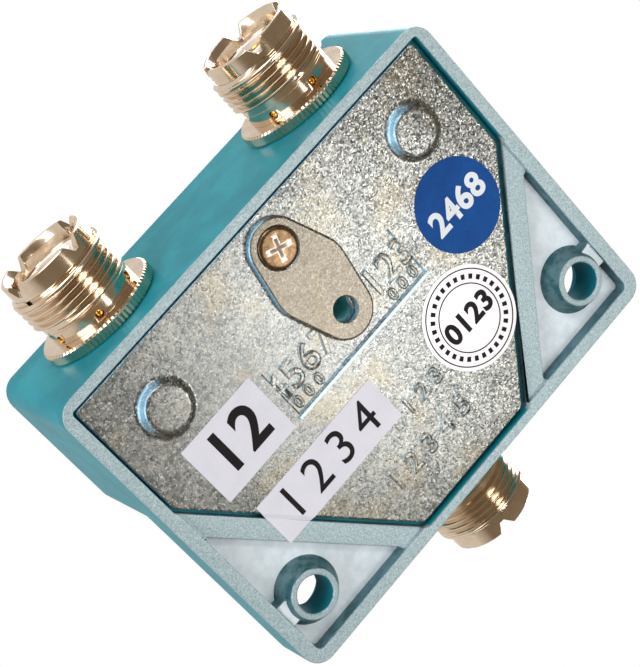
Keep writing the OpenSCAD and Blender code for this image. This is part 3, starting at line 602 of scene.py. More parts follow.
class Tone:
    """A shader socket that takes part in sums, so that a mask reads as an expression."""

    def __init__(self, graph: "Graph", socket: bpy.types.NodeSocket) -> None:
        """Wraps one output socket of a graph."""
        self.graph = graph
        self.socket = socket

    def _math(self, operation: str, *values: Any) -> "Tone":
        """Adds one Math node and returns its result."""
        node = self.graph.node("ShaderNodeMath", {"operation": operation}, dict(enumerate(values)))
        return Tone(self.graph, node.outputs[0])

    def __add__(self, other: Any) -> "Tone":
        """self + other"""
        return self._math("ADD", self, other)

    __radd__ = __add__

    def __mul__(self, other: Any) -> "Tone":
        """self * other"""
        return self._math("MULTIPLY", self, other)

    def __sub__(self, other: Any) -> "Tone":
        """self - other"""
        return self._math("SUBTRACT", self, other)

    def __rsub__(self, other: Any) -> "Tone":
        """other - self"""
        return self._math("SUBTRACT", other, self)

    def __pow__(self, other: Any) -> "Tone":
        """self ** other"""
        return self._math("POWER", self, other)

    def __abs__(self) -> "Tone":
        """The size of self without its sign."""
        return self._math("ABSOLUTE", self)

    def least(self, other: Any) -> "Tone":
        """The smaller of two values."""
        return self._math("MINIMUM", self, other)

    def most(self, other: Any) -> "Tone":
        """The larger of two values."""
        return self._math("MAXIMUM", self, other)

    def ramp(self, low: float, high: float) -> "Tone":
        """Rises smoothly from 0 at low to 1 at high.

        Args:
            low: Value where the rise begins.
            high: Value where it ends.

        Returns:
            The rise.
        """
        node = self.graph.node(
            "ShaderNodeMapRange",
            {"interpolation_type": "SMOOTHSTEP"},
            {"Value": self, "From Min": low, "From Max": high, "To Min": 0.0, "To Max": 1.0},
        )
        return Tone(self.graph, node.outputs[0])

    def below(self, edge: float, soft: float) -> "Tone":
        """Is 1 up to an edge and falls smoothly to 0 over a soft width."""
        return 1 - self.ramp(edge, edge + soft)


class Graph:
    """The node tree of one procedural material or world, in the object's own metres."""

    def __init__(self, name: str, makers: Any = None) -> None:
        """Starts a material with an empty tree.

        Args:
            name: Name of the material or world.
            makers: Blender's list that it joins, where it isn't a material.
        """
        self.owner = (bpy.data.materials if makers is None else makers).new(name)
        self.owner.use_nodes = True
        self.tree = self.owner.node_tree
        self.tree.nodes.clear()
        self.place = self.node("ShaderNodeTexCoord").outputs["Object"]

    def node(
        self, kind: str, settings: dict[str, Any] | None = None, sockets: dict[Any, Any] | None = None
    ) -> bpy.types.Node:
        """Adds one node.

        Args:
            kind: Blender's name of the node's type.
            settings: The node's own settings, which are set first.
            sockets: Values or links of its input sockets, by name or number.

        Returns:
            The new node.
        """
        made = self.tree.nodes.new(kind)
        for key, value in (settings or {}).items():
            setattr(made, key, value)
        for key, value in (sockets or {}).items():
            socket = made.inputs[key]
            if isinstance(value, Tone):
                value = value.socket
            if isinstance(value, bpy.types.NodeSocket):
                self.tree.links.new(value, socket)
            elif isinstance(value, tuple) and socket.type == "RGBA":
                socket.default_value = (*value, 1.0)
            else:
                socket.default_value = value
        return made

    def axes(self) -> tuple[Tone, Tone, Tone]:
        """The place on the object, in millimetres, as three values."""
        parts = self.node("ShaderNodeSeparateXYZ", sockets={0: self.place}).outputs
        return tuple(Tone(self, part) * (1 / MM) for part in parts)

    def normal(self) -> tuple[Tone, Tone, Tone]:
        """The surface's own normal.

        Returns:
            Its three parts, from -1 to 1.
        """
        whole = self.node("ShaderNodeNewGeometry").outputs["Normal"]
        parts = self.node("ShaderNodeSeparateXYZ", sockets={0: whole}).outputs
        return tuple(Tone(self, part) for part in parts)

    def stretched(self, scale: Sequence[float], turn: float) -> bpy.types.NodeSocket:
        """Object coordinates that are scaled and turned about z, in degrees, for a grain with a way."""
        sockets = {0: self.place, "Rotation": (0, 0, math.radians(turn)), "Scale": scale}
        return self.node("ShaderNodeMapping", sockets=sockets).outputs[0]

    def noise(self, size: float, detail: float = 2.0, rough: float = 0.5, at: Any = None) -> Tone:
        """Cloudy noise whose blotches are about size millimetres across."""
        sockets = {"Vector": at or self.place, "Scale": 1 / (size * MM), "Detail": detail, "Roughness": rough}
        return Tone(self, self.node("ShaderNodeTexNoise", sockets=sockets).outputs[0])

    def voronoi(self, size: float) -> bpy.types.NodeSocket:
        """A random colour for each cell of about size millimetres."""
        sockets = {"Vector": self.place, "Scale": 1 / (size * MM)}
        return self.node("ShaderNodeTexVoronoi", sockets=sockets).outputs["Color"]

    def cells(self, size: float) -> Tone:
        """A random shade for each cell of about size millimetres."""
        return Tone(self, self.node("ShaderNodeSeparateColor", sockets={0: self.voronoi(size)}).outputs[0])

    def vectors(self, operation: str, *values: Any) -> bpy.types.NodeSocket:
        """Adds one Vector Math node and returns its vector."""
        return self.node("ShaderNodeVectorMath", {"operation": operation}, dict(enumerate(values))).outputs[0]

    def blend(self, share: Any, low: Any, high: Any) -> Tone:
        """Goes from one colour to another."""
        node = self.node("ShaderNodeMix", {"data_type": "RGBA"}, {0: share, 6: low, 7: high})
        return Tone(self, node.outputs[2])

    def bump(self, height: Tone, rise: float, under: Any = None) -> Tone:
        """Turns a height of 0 to 1 into a relief of rise millimetres.

        Args:
            height: Height of the relief, 0 to 1.
            rise: Its rise, in millimetres.
            under: The normal that it lies on, where it isn't the surface's own.

        Returns:
            The new normal.
        """
        sockets = {"Height": height, "Distance": rise * MM, "Strength": 1.0}
        if under is not None:
            sockets["Normal"] = under
        return Tone(self, self.node("ShaderNodeBump", sockets=sockets).outputs[0])

    def crystals(self, size: float, lean: float) -> Tone:
        """Leans the surface of each crystal, size millimetres across, its own way.

        Args:
            size: Width of a crystal.
            lean: Sideways lean of the steepest ones, as a share of the normal's length.

        Returns:
            The leaning normal.
        """
        normal = self.node("ShaderNodeNewGeometry").outputs["Normal"]
        middle = self.vectors("SUBTRACT", self.voronoi(size), (0.5, 0.5, 0.5))
        leaning = self.vectors("MULTIPLY_ADD", middle, (2 * lean, 2 * lean, 2 * lean), normal)
        return Tone(self, self.vectors("NORMALIZE", leaning))

    def finish(self, sockets: dict[str, Any]) -> bpy.types.Material:
        """Ends the tree in one Principled shader with these sockets.

        Args:
            sockets: Values or links of the shader's input sockets, by name.

        Returns:
            The material.
        """
        shader = self.node("ShaderNodeBsdfPrincipled", sockets=sockets)
        self.node("ShaderNodeOutputMaterial", sockets={"Surface": shader.outputs[0]})
        return self.owner


def srgb(red: float, green: float, blue: float) -> Colour:
    """A colour as seen on a screen, 0 to 255, as the linear values that a shader takes."""
    return tuple(c / 3294.6 if c <= 10.31 else ((c / 255 + 0.055) / 1.055) ** 2.4 for c in (red, green, blue))


@dataclass(frozen=True)
class CastPaint:
    """Teal enamel on a zinc casting, ground bare where the rim and the ridges were faced, with painted shade.
    """

    paint: Colour = srgb(30, 138, 152)
    deep: Colour = srgb(22, 124, 139)
    speck: Colour = srgb(96, 186, 196)
    bare: Colour = srgb(180, 200, 206)
    ground: tuple[Colour, Colour] = (srgb(120, 142, 150), srgb(236, 242, 244))
    # Lit copy of the bare casting, for the pocket floors that face -z: painted light.
    floor: tuple[Colour, Colour] = (srgb(202, 214, 222), srgb(222, 231, 238))
    # Painted shade: the same bare casting darker, for the pocket walls and the ledge walls.
    flank: tuple[Colour, Colour] = (srgb(70, 100, 110), srgb(98, 128, 138))
    # Teal overspray on the boss flanks, darkened as painted shade.
    boss_flank: tuple[Colour, Colour] = (srgb(48, 88, 97), srgb(90, 120, 126))
    # Teal enamel inside the ear bores, darkened as painted shade in the hole.
    bore_teal: Colour = srgb(8, 84, 98)
    stand: float = 0.75
    hole: Point = (30.0, -18.35)
    bore: float = 2.7
    boss: float = 5.3
    boss_tip: float = -0.62
    rim_edge: float = 0.2
    ridge_top: float = 0.8
    ridge_low: float = 24.8
    ridge_high: float = 28.0
    ledge_foot: float = 2.2
    lean: float = 52.4
    inner: Point = (35.9, 26.0)
    pocket_floor: float = 2.4
    edge_wander: float = 0.22

    def make(self) -> bpy.types.Material:
        """Builds the material, with its masks from the place on the casting.

        Returns:
            The material.
        """
        g = Graph("teal_enamel_on_zinc")
        x, y, z = g.axes()
        z = z - self.stand
        n_x, n_y = math.sin(math.radians(self.lean)), math.cos(math.radians(self.lean))
        out = abs(x) * n_x - y * n_y
        height = z + (g.noise(1.1, 3.0, 0.7) - 0.5) * (2 * self.edge_wander)
        across, along = abs(x) - self.hole[0], y - self.hole[1]
        reach = (across * across + along * along) ** 0.5
        boss = reach.below(self.boss - 0.2, 0.4)
        bore = reach.below(self.bore + 0.05, 0.15)
        rim = height.below(self.rim_edge, 0.08) * (1 - boss)
        tip = height.below(self.boss_tip, 0.17) * boss
        within = abs(x).below(self.inner[0], 0.3) * abs(y).below(self.inner[1], 0.3)
        in_band = out.ramp(self.ridge_low - 0.4, self.ridge_low) * out.below(self.ridge_high, 0.3) * within
        ridge = height.below(self.ridge_top + 0.22, 0.12) * in_band
        # Faces that look towards -z get the lit floor colour, the rest the painted shade of the walls.
        level = (0 - g.normal()[2]).ramp(0.7, 0.95)
        inside = out.ramp(self.ridge_high - 0.15, self.ridge_high + 0.05) * within
        inside = inside * z.below(self.pocket_floor + 0.3, 0.2)
        inside = inside * height.ramp(self.rim_edge, self.rim_edge + 0.3).most(boss)
        # Ledge: walls of the ridge band below its foot, bare grey casting darkened as painted shade.
        ledge = in_band * (1 - level) * height.below(self.ledge_foot, 0.4)
        metal = rim.most(ridge).most(tip)
        bare_cast = inside * (1 - bore)
        grain = g.noise(0.16, 2.0, 0.6)
        scuff = g.noise(0.32, 4.0, 0.75, g.stretched((1.0, 2.5, 1.0), 35))
        mist = g.noise(2.2, 3.0, 0.6)
        enamel = g.blend(g.noise(5.0, 3.0, 0.55).ramp(0.3, 0.7), self.deep, self.paint)
        enamel = g.blend(grain.ramp(0.62, 0.8) * 0.12, enamel, self.speck)
        ground = g.blend(scuff.ramp(0.3, 0.65), self.ground[0], self.bare)
        ground = g.blend(grain.ramp(0.5, 0.8) * 0.7, ground, self.ground[1])
        # Painted light and shade: lit floors and shaded walls are one bare casting in two brightnesses.
        flank = g.blend(mist.ramp(0.3, 0.7), *self.flank)
        cast = g.blend(level, flank, g.blend(mist.ramp(0.25, 0.75), *self.floor))
        # Boss flanks: teal overspray, darkened as painted shade.
        cast = g.blend(boss * (1 - level), cast, g.blend(mist.ramp(0.35, 0.6), *self.boss_flank))
        colour = g.blend(bare_cast, enamel, cast)
        colour = g.blend(ledge, colour, flank)
        # Painted shade: the bore's teal enamel is darkened inside the hole.
        colour = g.blend(bore * 0.7, colour, self.bore_teal)
        return g.finish(
            {
                "Base Color": g.blend(metal, colour, ground),
                "Roughness": 0.4 + metal * 0.04 + bare_cast * 0.14 + (grain - 0.5) * 0.1 + bore * 0.3,
                "Metallic": metal * 0.3 + bare_cast * 0.08,
                "Coat Weight": (1 - metal.most(bare_cast)) * (1 - bore) * 0.05,
                "Coat Roughness": 0.12,
                "Specular IOR Level": 0.06,
                "Normal": g.bump(g.noise(0.45, 3.0, 0.6) * 0.6 + grain * 0.4, 0.01),
            }
        )


@dataclass(frozen=True)
class SpangledZinc:
    """Bright plating on a die-cast plate: fine crystals in cloudy grey, painted glints and painted
    highlights.
    """

    light: Colour = srgb(174, 175, 171)
    dark: Colour = srgb(96, 101, 103)
    warm: Colour = srgb(156, 146, 122)
    # Painted reflection: bluish tint on the slopes that face +x and +y.
    blue: Colour = srgb(140, 196, 228)
    # Painted highlight colour on the lit crest of the raised rule.
    edge: Colour = srgb(226, 244, 248)
    # Colour of the painted glints: the brightest crystals painted near white as highlights.
    glint: Colour = srgb(244, 245, 242)
    rule: Point = (14.2, 0.45)
    rule_half: float = 0.2
    rule_heights: Point = (0.8, 1.1)
    crystal: float = 0.19
    lean: float = 0.06
    # Share of the painted glint colour on those crystals.
    glitter: float = 0.55
    # Share of the painted bluish reflection on those slopes.
    tint: float = 0.65
    name: str = "spangled_zinc_plate"

    def make(self) -> bpy.types.Material:
        """Builds the material from leaning crystals under a cloud, painted glints and slopes tinted blue as a
        painted reflection.

        Returns:
            The material.
        """
        g = Graph(self.name)
        fine = g.cells(self.crystal)
        coarse = g.cells(self.crystal * 2.3)
        cloud = g.noise(5.5, 4.0, 0.6)
        shade = fine * 0.6 + coarse * 0.4
        colour = g.blend((shade * 0.8 + cloud * 0.5 - 0.15).ramp(0.15, 0.85), self.dark, self.light)
        colour = g.blend(g.noise(7.0, 2.0).ramp(0.5, 0.7) * 0.4, colour, self.warm)
        # Painted glints: the brightest crystals get a near-white colour and less metal, as painted
        # highlights.
        glint = fine.ramp(0.9, 0.94)
        colour = g.blend(glint * self.glitter, colour, self.glint)
        # Painted reflection: slopes facing +x and +y are tinted blue and made less metallic.
        n_x, n_y, _ = g.normal()
        painted_reflection = (n_x * 0.6 + n_y * 0.8).ramp(0.15, 0.6)
        colour = g.blend(painted_reflection * self.tint, colour, self.blue)
        # Painted highlight: the crest of the raised rule is painted pale cyan-white, rougher and less
        # metallic.
        x, y, z = g.axes()
        low, high = self.rule_heights
        rule = abs(x).below(self.rule[0], 0.1) * abs(y - self.rule[1]).below(self.rule_half, 0.06)
        rule = rule * z.ramp(low, low + 0.06) * z.below(high, 0.06)
        colour = g.blend(rule, colour, self.edge)
        return g.finish(
            {
                "Base Color": colour,
                "Roughness": 0.22 + coarse * 0.1 + rule * 0.2,
                "Metallic": 0.9 - glint * 0.4 - painted_reflection * 0.4 - rule * 0.6 * (1 - painted_reflection),
                "Normal": g.bump(fine * 0.5 + coarse * 0.5, 0.004, g.crystals(self.crystal, self.lean)),
            }
        )


@dataclass(frozen=True)
class Plated:
    """Plated or turned metal with fine lines and a little tarnish."""

    name: str
    light: Colour
    dark: Colour
    roughness: float = 0.2
    blotch: float = 3.0
    grain: float = 0.12
    relief: float = 0.006
    metallic: float = 1.0

    def make(self) -> bpy.types.Material:
        """Builds the material from a blotchy tarnish and fine grain.

        Returns:
            The material.
        """
        g = Graph(self.name)
        blotch = g.noise(self.blotch, 4.0, 0.6)
        grain = g.noise(self.grain, 3.0, 0.7)
        colour = g.blend((blotch * 0.7 + grain * 0.3).ramp(0.3, 0.7), self.dark, self.light)
        return g.finish(
            {
                "Base Color": colour,
                "Roughness": (blotch - 0.5) * 0.12 + (grain - 0.5) * 0.08 + self.roughness,
                "Metallic": self.metallic,
                "Normal": g.bump(grain * 0.6 + blotch * 0.4, self.relief),
            }
        )


@dataclass(frozen=True)
class Moulded:
    """Moulded or printed plastic, lacquer or paper with a fine surface."""

    name: str
    light: Colour
    dark: Colour
    roughness: float = 0.4
    grain: float = 0.25
    relief: float = 0.01
    gloss: float = 0.0
    shine: float = 0.5

    def make(self) -> bpy.types.Material:
        """Builds the material from a cloudy colour and a fine grain.

        Returns:
            The material.
        """
        g = Graph(self.name)
        cloud = g.noise(4.0, 3.0, 0.55)
        grain = g.noise(self.grain, 3.0, 0.65)
        return g.finish(
            {
                "Base Color": g.blend((cloud * 0.6 + grain * 0.4).ramp(0.3, 0.7), self.dark, self.light),
                "Roughness": (grain - 0.5) * 0.15 + (cloud - 0.5) * 0.08 + self.roughness,
                "Coat Weight": self.gloss,
                "Specular IOR Level": self.shine,
                "Coat Roughness": 0.1,
                "Normal": g.bump(grain, self.relief),
            }
        )


@dataclass(frozen=True)
class WornScrew:
    """Brown plating on a screw head, worn bright where the driver has gripped its cross."""

    at: Point = (-0.15, 19.85)
    turn: float = 20.0
    reach: float = 2.1
    brown: Colour = srgb(146, 120, 92)
    deep: Colour = srgb(104, 82, 60)
    bright: Colour = srgb(240, 232, 222)

    def make(self) -> bpy.types.Material:
        """Builds the material, with its wear along the two arms of the cross.

        Returns:
            The material.
        """
        g = Graph("brown_plated_screw")
        x, y, _ = g.axes()
        across, along = x - self.at[0], y - self.at[1]
        cos, sin = math.cos(math.radians(self.turn)), math.sin(math.radians(self.turn))
        ragged = (g.noise(0.35, 3.0, 0.7) - 0.5) * 0.7
        first = abs(across * cos + along * sin) + ragged
        second = abs(along * cos - across * sin) + ragged
        arms = 1 - first.least(second).ramp(0.3, 0.5)
        worn = arms * (1 - first.most(second).ramp(self.reach - 0.4, self.reach + 0.1))
        grain = g.noise(0.14, 3.0, 0.7)
        colour = g.blend((g.noise(1.2, 3.0, 0.6) * 0.7 + grain * 0.3).ramp(0.35, 0.65), self.deep, self.brown)
        return g.finish(
            {
                "Base Color": g.blend(worn, colour, self.bright),
                "Roughness": 0.26 + (grain - 0.5) * 0.12 + worn * 0.1,
                "Metallic": 1.0 - worn * 0.4,
                "Normal": g.bump(grain, 0.01),
            }
        )


def finishes() -> dict[str, bpy.types.Material]:
    """Makes each finish once, by the record's slot names, with a few more of the scene's own.

    Returns:
        The materials, by slot or by the scene's own names.
    """
    dull = {"light": srgb(140, 133, 122), "dark": srgb(104, 98, 87), "warm": srgb(124, 116, 94)}
    # The raised digits get a paler blue at a larger share: a painted highlight on their sides facing +x and
    # +y.
    raised = {"blue": srgb(196, 228, 242), "lean": 0.03, "glitter": 0.3, "tint": 0.95}
    metals = {
        "nickel": ("warm_bright_nickel", (233, 215, 194), (216, 194, 168), 0.13, 3.0, 0.2, 0.002),
        "gold_brass": ("gilt_brass", (238, 186, 88), (214, 156, 62), 0.16, 2.0, 0.15, 0.004),
        "steel": ("satin_steel", (196, 198, 200), (164, 167, 170), 0.26, 4.0, 0.15, 0.006),
        "silver_label": ("silver_foil", (228, 226, 229), (216, 214, 218), 0.3, 5.0, 0.3, 0.004, 0.3),
    }
    mouldings = {
        "white_resin": ("white_insulating_resin", (248, 246, 242), (236, 233, 228), 0.35),
        "dial_black": ("black_dial_lacquer", (40, 43, 46), (30, 32, 35), 0.42, 0.2, 0.006, 0.2),
        "knob_black": ("black_moulded_knob", (36, 37, 39), (27, 28, 30), 0.36, 0.22, 0.02, 0.15),
        "white_ink": ("white_filled_line", (240, 240, 236), (226, 226, 222), 0.5),
        "blue_label": ("blue_printed_film", (19, 77, 146), (12, 62, 128), 0.5, 0.3, 0.004, 0.0, 0.12),
        "white_label": ("white_label_paper", (216, 216, 226), (208, 208, 219), 0.6, 0.3, 0.004, 0.0, 0.15),
        "black_ink": ("black_print", (34, 30, 34), (24, 21, 24), 0.6, 0.25, 0.01, 0.0, 0.15),
        # A lighter teal for the spare insert deep in its hole: painted light where it sits in shade.
        "painted_lit_teal": ("light_teal_insert", (128, 206, 208), (96, 178, 184), 0.4),
        "film_white": ("white_print", (222, 228, 234), (214, 220, 228), 0.6, 0.25, 0.01, 0.0, 0.15),
    }
    made = {
        "teal_paint": CastPaint(),
        "plated_steel": SpangledZinc(),
        "dull_nickel": SpangledZinc(crystal=0.16, lean=0.035, glitter=0.2, name="dull_nickel_plate", **dull),
        "raised_zinc": SpangledZinc(name="raised_digit_zinc", **raised),
        "brown_steel": WornScrew(),
    }
    for kind, rows in ((Plated, metals), (Moulded, mouldings)):
        for slot, (name, light, dark, *rest) in rows.items():
            made[slot] = kind(name, srgb(*light), srgb(*dark), *rest)
    return {slot: finish.make() for slot, finish in made.items()}


# ---------------------------------------------------------------- the switch


@dataclass
class Shape:
    """Outlines that the housing and its cover share."""

    width: float = 74.7
    height: float = 54.3
    depth: float = 27.3
    lean: float = 52.4
    slant_outer: float = 26.9

    @property
    def half_w(self) -> float:
        """Half the width."""
        return self.width / 2

    @property
    def half_h(self) -> float:
        """Half the height."""
        return self.height / 2

    @property
    def normal(self) -> Point:
        """The unit normal of the slanted wall at +x, with its y turned round."""
        return math.sin(math.radians(self.lean)), math.cos(math.radians(self.lean))

    def slant_y(self, x: float, distance: float) -> float:
        """Height at x of a slanted line at a distance from the axis."""
        return (self.normal[0] * x - distance) / self.normal[1]

    def slant_x(self, y: float, distance: float) -> float:
        """Place across, at y, of a slanted line at a distance from the axis."""
        return (distance + self.normal[1] * y) / self.normal[0]

    def six(
        self, side: float, top: float, bottom: float, distance: float, radii: Sequence[float]
    ) -> list[Point]:
        """The outline with two slanted lower sides.

        Args:
            side: Half width.
            top: Height above the axis.
            bottom: Depth below the axis.
            distance: Distance of the slanted lines from the axis.
            radii: Rounds at the top, the sides and the bottom corners.

        Returns:
            The outline's points, anticlockwise from the top right.
        """
        low_x = self.slant_x(-bottom, distance)
        mid_y = self.slant_y(side, distance)
        corners = [
            (side, top, radii[0]),
            (-side, top, radii[0]),
            (-side, mid_y, radii[1]),
            (-low_x, -bottom, radii[2]),
            (low_x, -bottom, radii[2]),
            (side, mid_y, radii[1]),
        ]
        return rounded(corners)


@dataclass
class Housing:
    """The die-cast housing with its two pocketed ears."""

    shape: Shape
    ear_thick: float = 9.0
    corner: float = 3.0
    front_round: float = 1.1
    rim_long: float = 1.6
    rim_side: float = 1.9
    rim_single: float = 1.45
    recess: float = 24.9
    recess_deep: float = 2.0
    cavity: float = 23.3
    front_wall: float = 2.4
    side_wall: float = 3.0
    socket_wall: float = 2.8
    ridge: float = 28.0
    ridge_drop: float = 0.8
    pocket_side: float = 2.2
    pocket_single: float = 2.0
    pocket_deep: float = 2.4
    pocket_draft: float = 0.08
    pocket_round: float = 0.3
    ear: Point = (30.0, -18.35)
    hole: float = 5.4
    boss_top: float = 7.4
    boss_foot: float = 9.8
    foot_rise: float = 0.75
    spot: float = 9.0
    spot_deep: float = 3.8
    gusset: float = 4.4
    gusset_shift: float = 0.6
    gusset_drop: float = 0.4
    socket_hole: float = 13.7
    socket_x: float = 21.0
    socket_z: float = 14.0
    bush_hole: float = 9.5
    bush_reach: Point = (22.0, 29.0)
    edge: float = 0.22
    ear_round: float = 0.6

    @property
    def pocket_corner(self) -> Point:
        """The pocket's right-angled corner in the ear at +x."""
        return self.shape.half_w - self.pocket_side, -self.shape.half_h + self.pocket_single

    def triangle(self, side: int) -> list[Point]:
        """Corners of the pocket in one ear.

        Args:
            side: 1 for the ear at +x, -1 for the other.

        Returns:
            The three corners.
        """
        x_in, y_in = self.pocket_corner
        corners = [
            (x_in, self.shape.slant_y(x_in, self.ridge)),
            (x_in, y_in),
            (self.shape.slant_x(y_in, self.ridge), y_in),
        ]
        return [(side * x, y) for x, y in corners]

    def pocket(self, side: int) -> Piece:
        """The cutter of one pocket, whose walls lean in towards the floor.

        Args:
            side: 1 for the ear at +x, -1 for the other.

        Returns:
            The cutter.
        """
        a, b, c = (Vector(p) for p in self.triangle(side))
        sides = ((b - c).length, (c - a).length, (a - b).length)
        middle = (a * sides[0] + b * sides[1] + c * sides[2]) / sum(sides)
        area = abs((b - a).cross(c - a)) / 2
        inner = 2 * area / sum(sides)
        points = rounded([(*a, 0.35), (*b, 0.9), (*c, 0.35)], 4)
        foot = self.pocket_deep - self.pocket_round
        levels = [(-1.0, 1.0), (0.0, 1.0), (foot, (inner - self.pocket_draft) / inner)]
        for run, rise in arc((0, 0), self.pocket_round, 30, 90, 2):
            inset = self.pocket_draft + self.pocket_round - run
            levels.append((foot + rise, (inner - inset) / inner))
        return Bench.stack("pocket", points, levels, tuple(middle))

    def boss(self, side: int) -> Piece:
        """One ear's boss, a cone with a flared foot.

        Args:
            side: 1 for the ear at +x, -1 for the other.

        Returns:
            The boss, without its hole.
        """
        top, foot, floor = self.boss_top / 2, self.boss_foot / 2, self.pocket_deep
        high = -self.foot_rise
        section = [(0, floor + 0.6), (foot + 0.3, floor + 0.6), (foot + 0.22, floor + 0.06)]
        section += [(foot, floor - 0.12), (foot - 0.25, floor - 0.5)]
        section += [(top + 0.15, high + 0.55), (top, high + 0.3)]
        section += [(top - 0.1, high + 0.1), (top - 0.3, high), (0, high)]
        return Bench.lathe("boss", section, 64, (side * self.ear[0], self.ear[1]))

    def rib(self, side: int) -> Piece:
        """The gusset from a boss to the short side's wall.

        Args:
            side: 1 for the ear at +x, -1 for the other.

        Returns:
            The gusset.
        """
        y = self.ear[1] + self.gusset_shift
        half, run = self.gusset / 2, self.shape.half_w - self.pocket_side + 0.3
        points = [(side * px, py) for px, py in box(self.ear[0], y - half, run, y + half)]
        middle = (side * (self.ear[0] + 3), y)
        tool = Bench.prism("rib", points, self.pocket_deep + 0.3, self.gusset_drop, 0.9, middle)
        return Bench.soften_where(tool, lambda p, q: max(p.z, q.z) < self.gusset_drop + 0.1, 0.25)

    def bore(self, side: int) -> Piece:
        """The cutter of one ear's hole, with its rounded mouth and the spot face at the front.

        Args:
            side: 1 for the ear at +x, -1 for the other.

        Returns:
            The cutter.
        """
        hole, spot, mouth = self.hole / 2, self.spot / 2, -self.foot_rise
        front, face = self.ear_thick, self.ear_thick - self.spot_deep
        section = [(0, mouth - 1), (hole + 0.4, mouth - 1), (hole + 0.3, mouth), (hole + 0.06, mouth + 0.16)]
        section += [(hole, mouth + 0.4), (hole, face), (spot, face), (spot, front + 1), (0, front + 1)]
        return Bench.lathe("bore", section, 64, (side * self.ear[0], self.ear[1]))

    def cast(self) -> Piece:
        """The box with its ears, its recess for the cover and its cavity.

        Returns:
            The casting, still without pockets and holes.
        """
        s, r = self.shape, self.corner
        w, h = s.half_w, s.half_h
        block = Bench.prism("housing_cast", s.six(w, h, h, s.slant_outer, (r, 1.2, 1.2)), 0, s.depth)
        Bench.soften_where(block, lambda p, q: min(p.z, q.z) > s.depth - 0.1, self.front_round, 4)
        corners = rounded([(w, h, r), (-w, h, r), (-w, -h, r), (w, -h, r)])
        ears = Bench.prism("ears", corners, 0, self.ear_thick)
        Bench.soften_where(ears, lambda p, q: min(p.z, q.z) > self.ear_thick - 0.1, self.ear_round)
        Bench.carve(block, ears, Cut.ADD)
        side, top, bottom = w - self.rim_side, h - self.rim_long, h - self.rim_single
        recess = s.six(side, top, bottom, self.recess, (0.5, 1.2, 1.2))
        Bench.carve(block, Bench.prism("recess", recess, -1, self.recess_deep))
        cavity = s.six(w - self.side_wall, h - self.socket_wall, h - self.socket_wall, self.cavity, (2, 2, 2))
        return Bench.carve(block, Bench.prism("cavity", cavity, 1, s.depth - self.front_wall))

    def build(self) -> Piece:
        """Casts the housing and cuts its hollows.

        Returns:
            The housing.
        """
        block = self.cast()
        for side in (-1, 1):
            Bench.carve(block, self.pocket(side))
            Bench.carve(block, self.rib(side), Cut.ADD)
            Bench.carve(block, self.boss(side), Cut.ADD)
            Bench.carve(block, self.lowered(side))
            Bench.carve(block, self.bore(side))
        h = self.shape.half_h
        for x, y, turn in ((-self.socket_x, h, -90), (self.socket_x, h, -90), (0, -h, 90)):
            tool = Bench.rod("socket_hole", self.socket_hole / 2, -4, 1)
            Bench.carve(block, Bench.place(tool, moved(x, y, self.socket_z, turn, "X")))
        Bench.carve(block, Bench.rod("bush_hole", self.bush_hole / 2, *self.bush_reach))
        Bench.soften(block, self.edge, 2, 40)
        return Bench.smooth(block, 30)

    def lowered(self, side: int) -> Piece:
        """The cutter that drops the ridge between the cover and a pocket below the rim.

        Args:
            side: 1 for the ear at +x, -1 for the other.

        Returns:
            The cutter.
        """
        x_in, y_in = self.pocket_corner
        low, high = self.recess - 1, self.ridge + 0.25
        points = [
            (x_in, self.shape.slant_y(x_in, low)),
            (x_in, self.shape.slant_y(x_in, high)),
            (self.shape.slant_x(y_in, high), y_in),
            (self.shape.slant_x(y_in, low), y_in),
        ]
        return Bench.prism("lowered", [(side * x, y) for x, y in points], -1, self.ridge_drop)


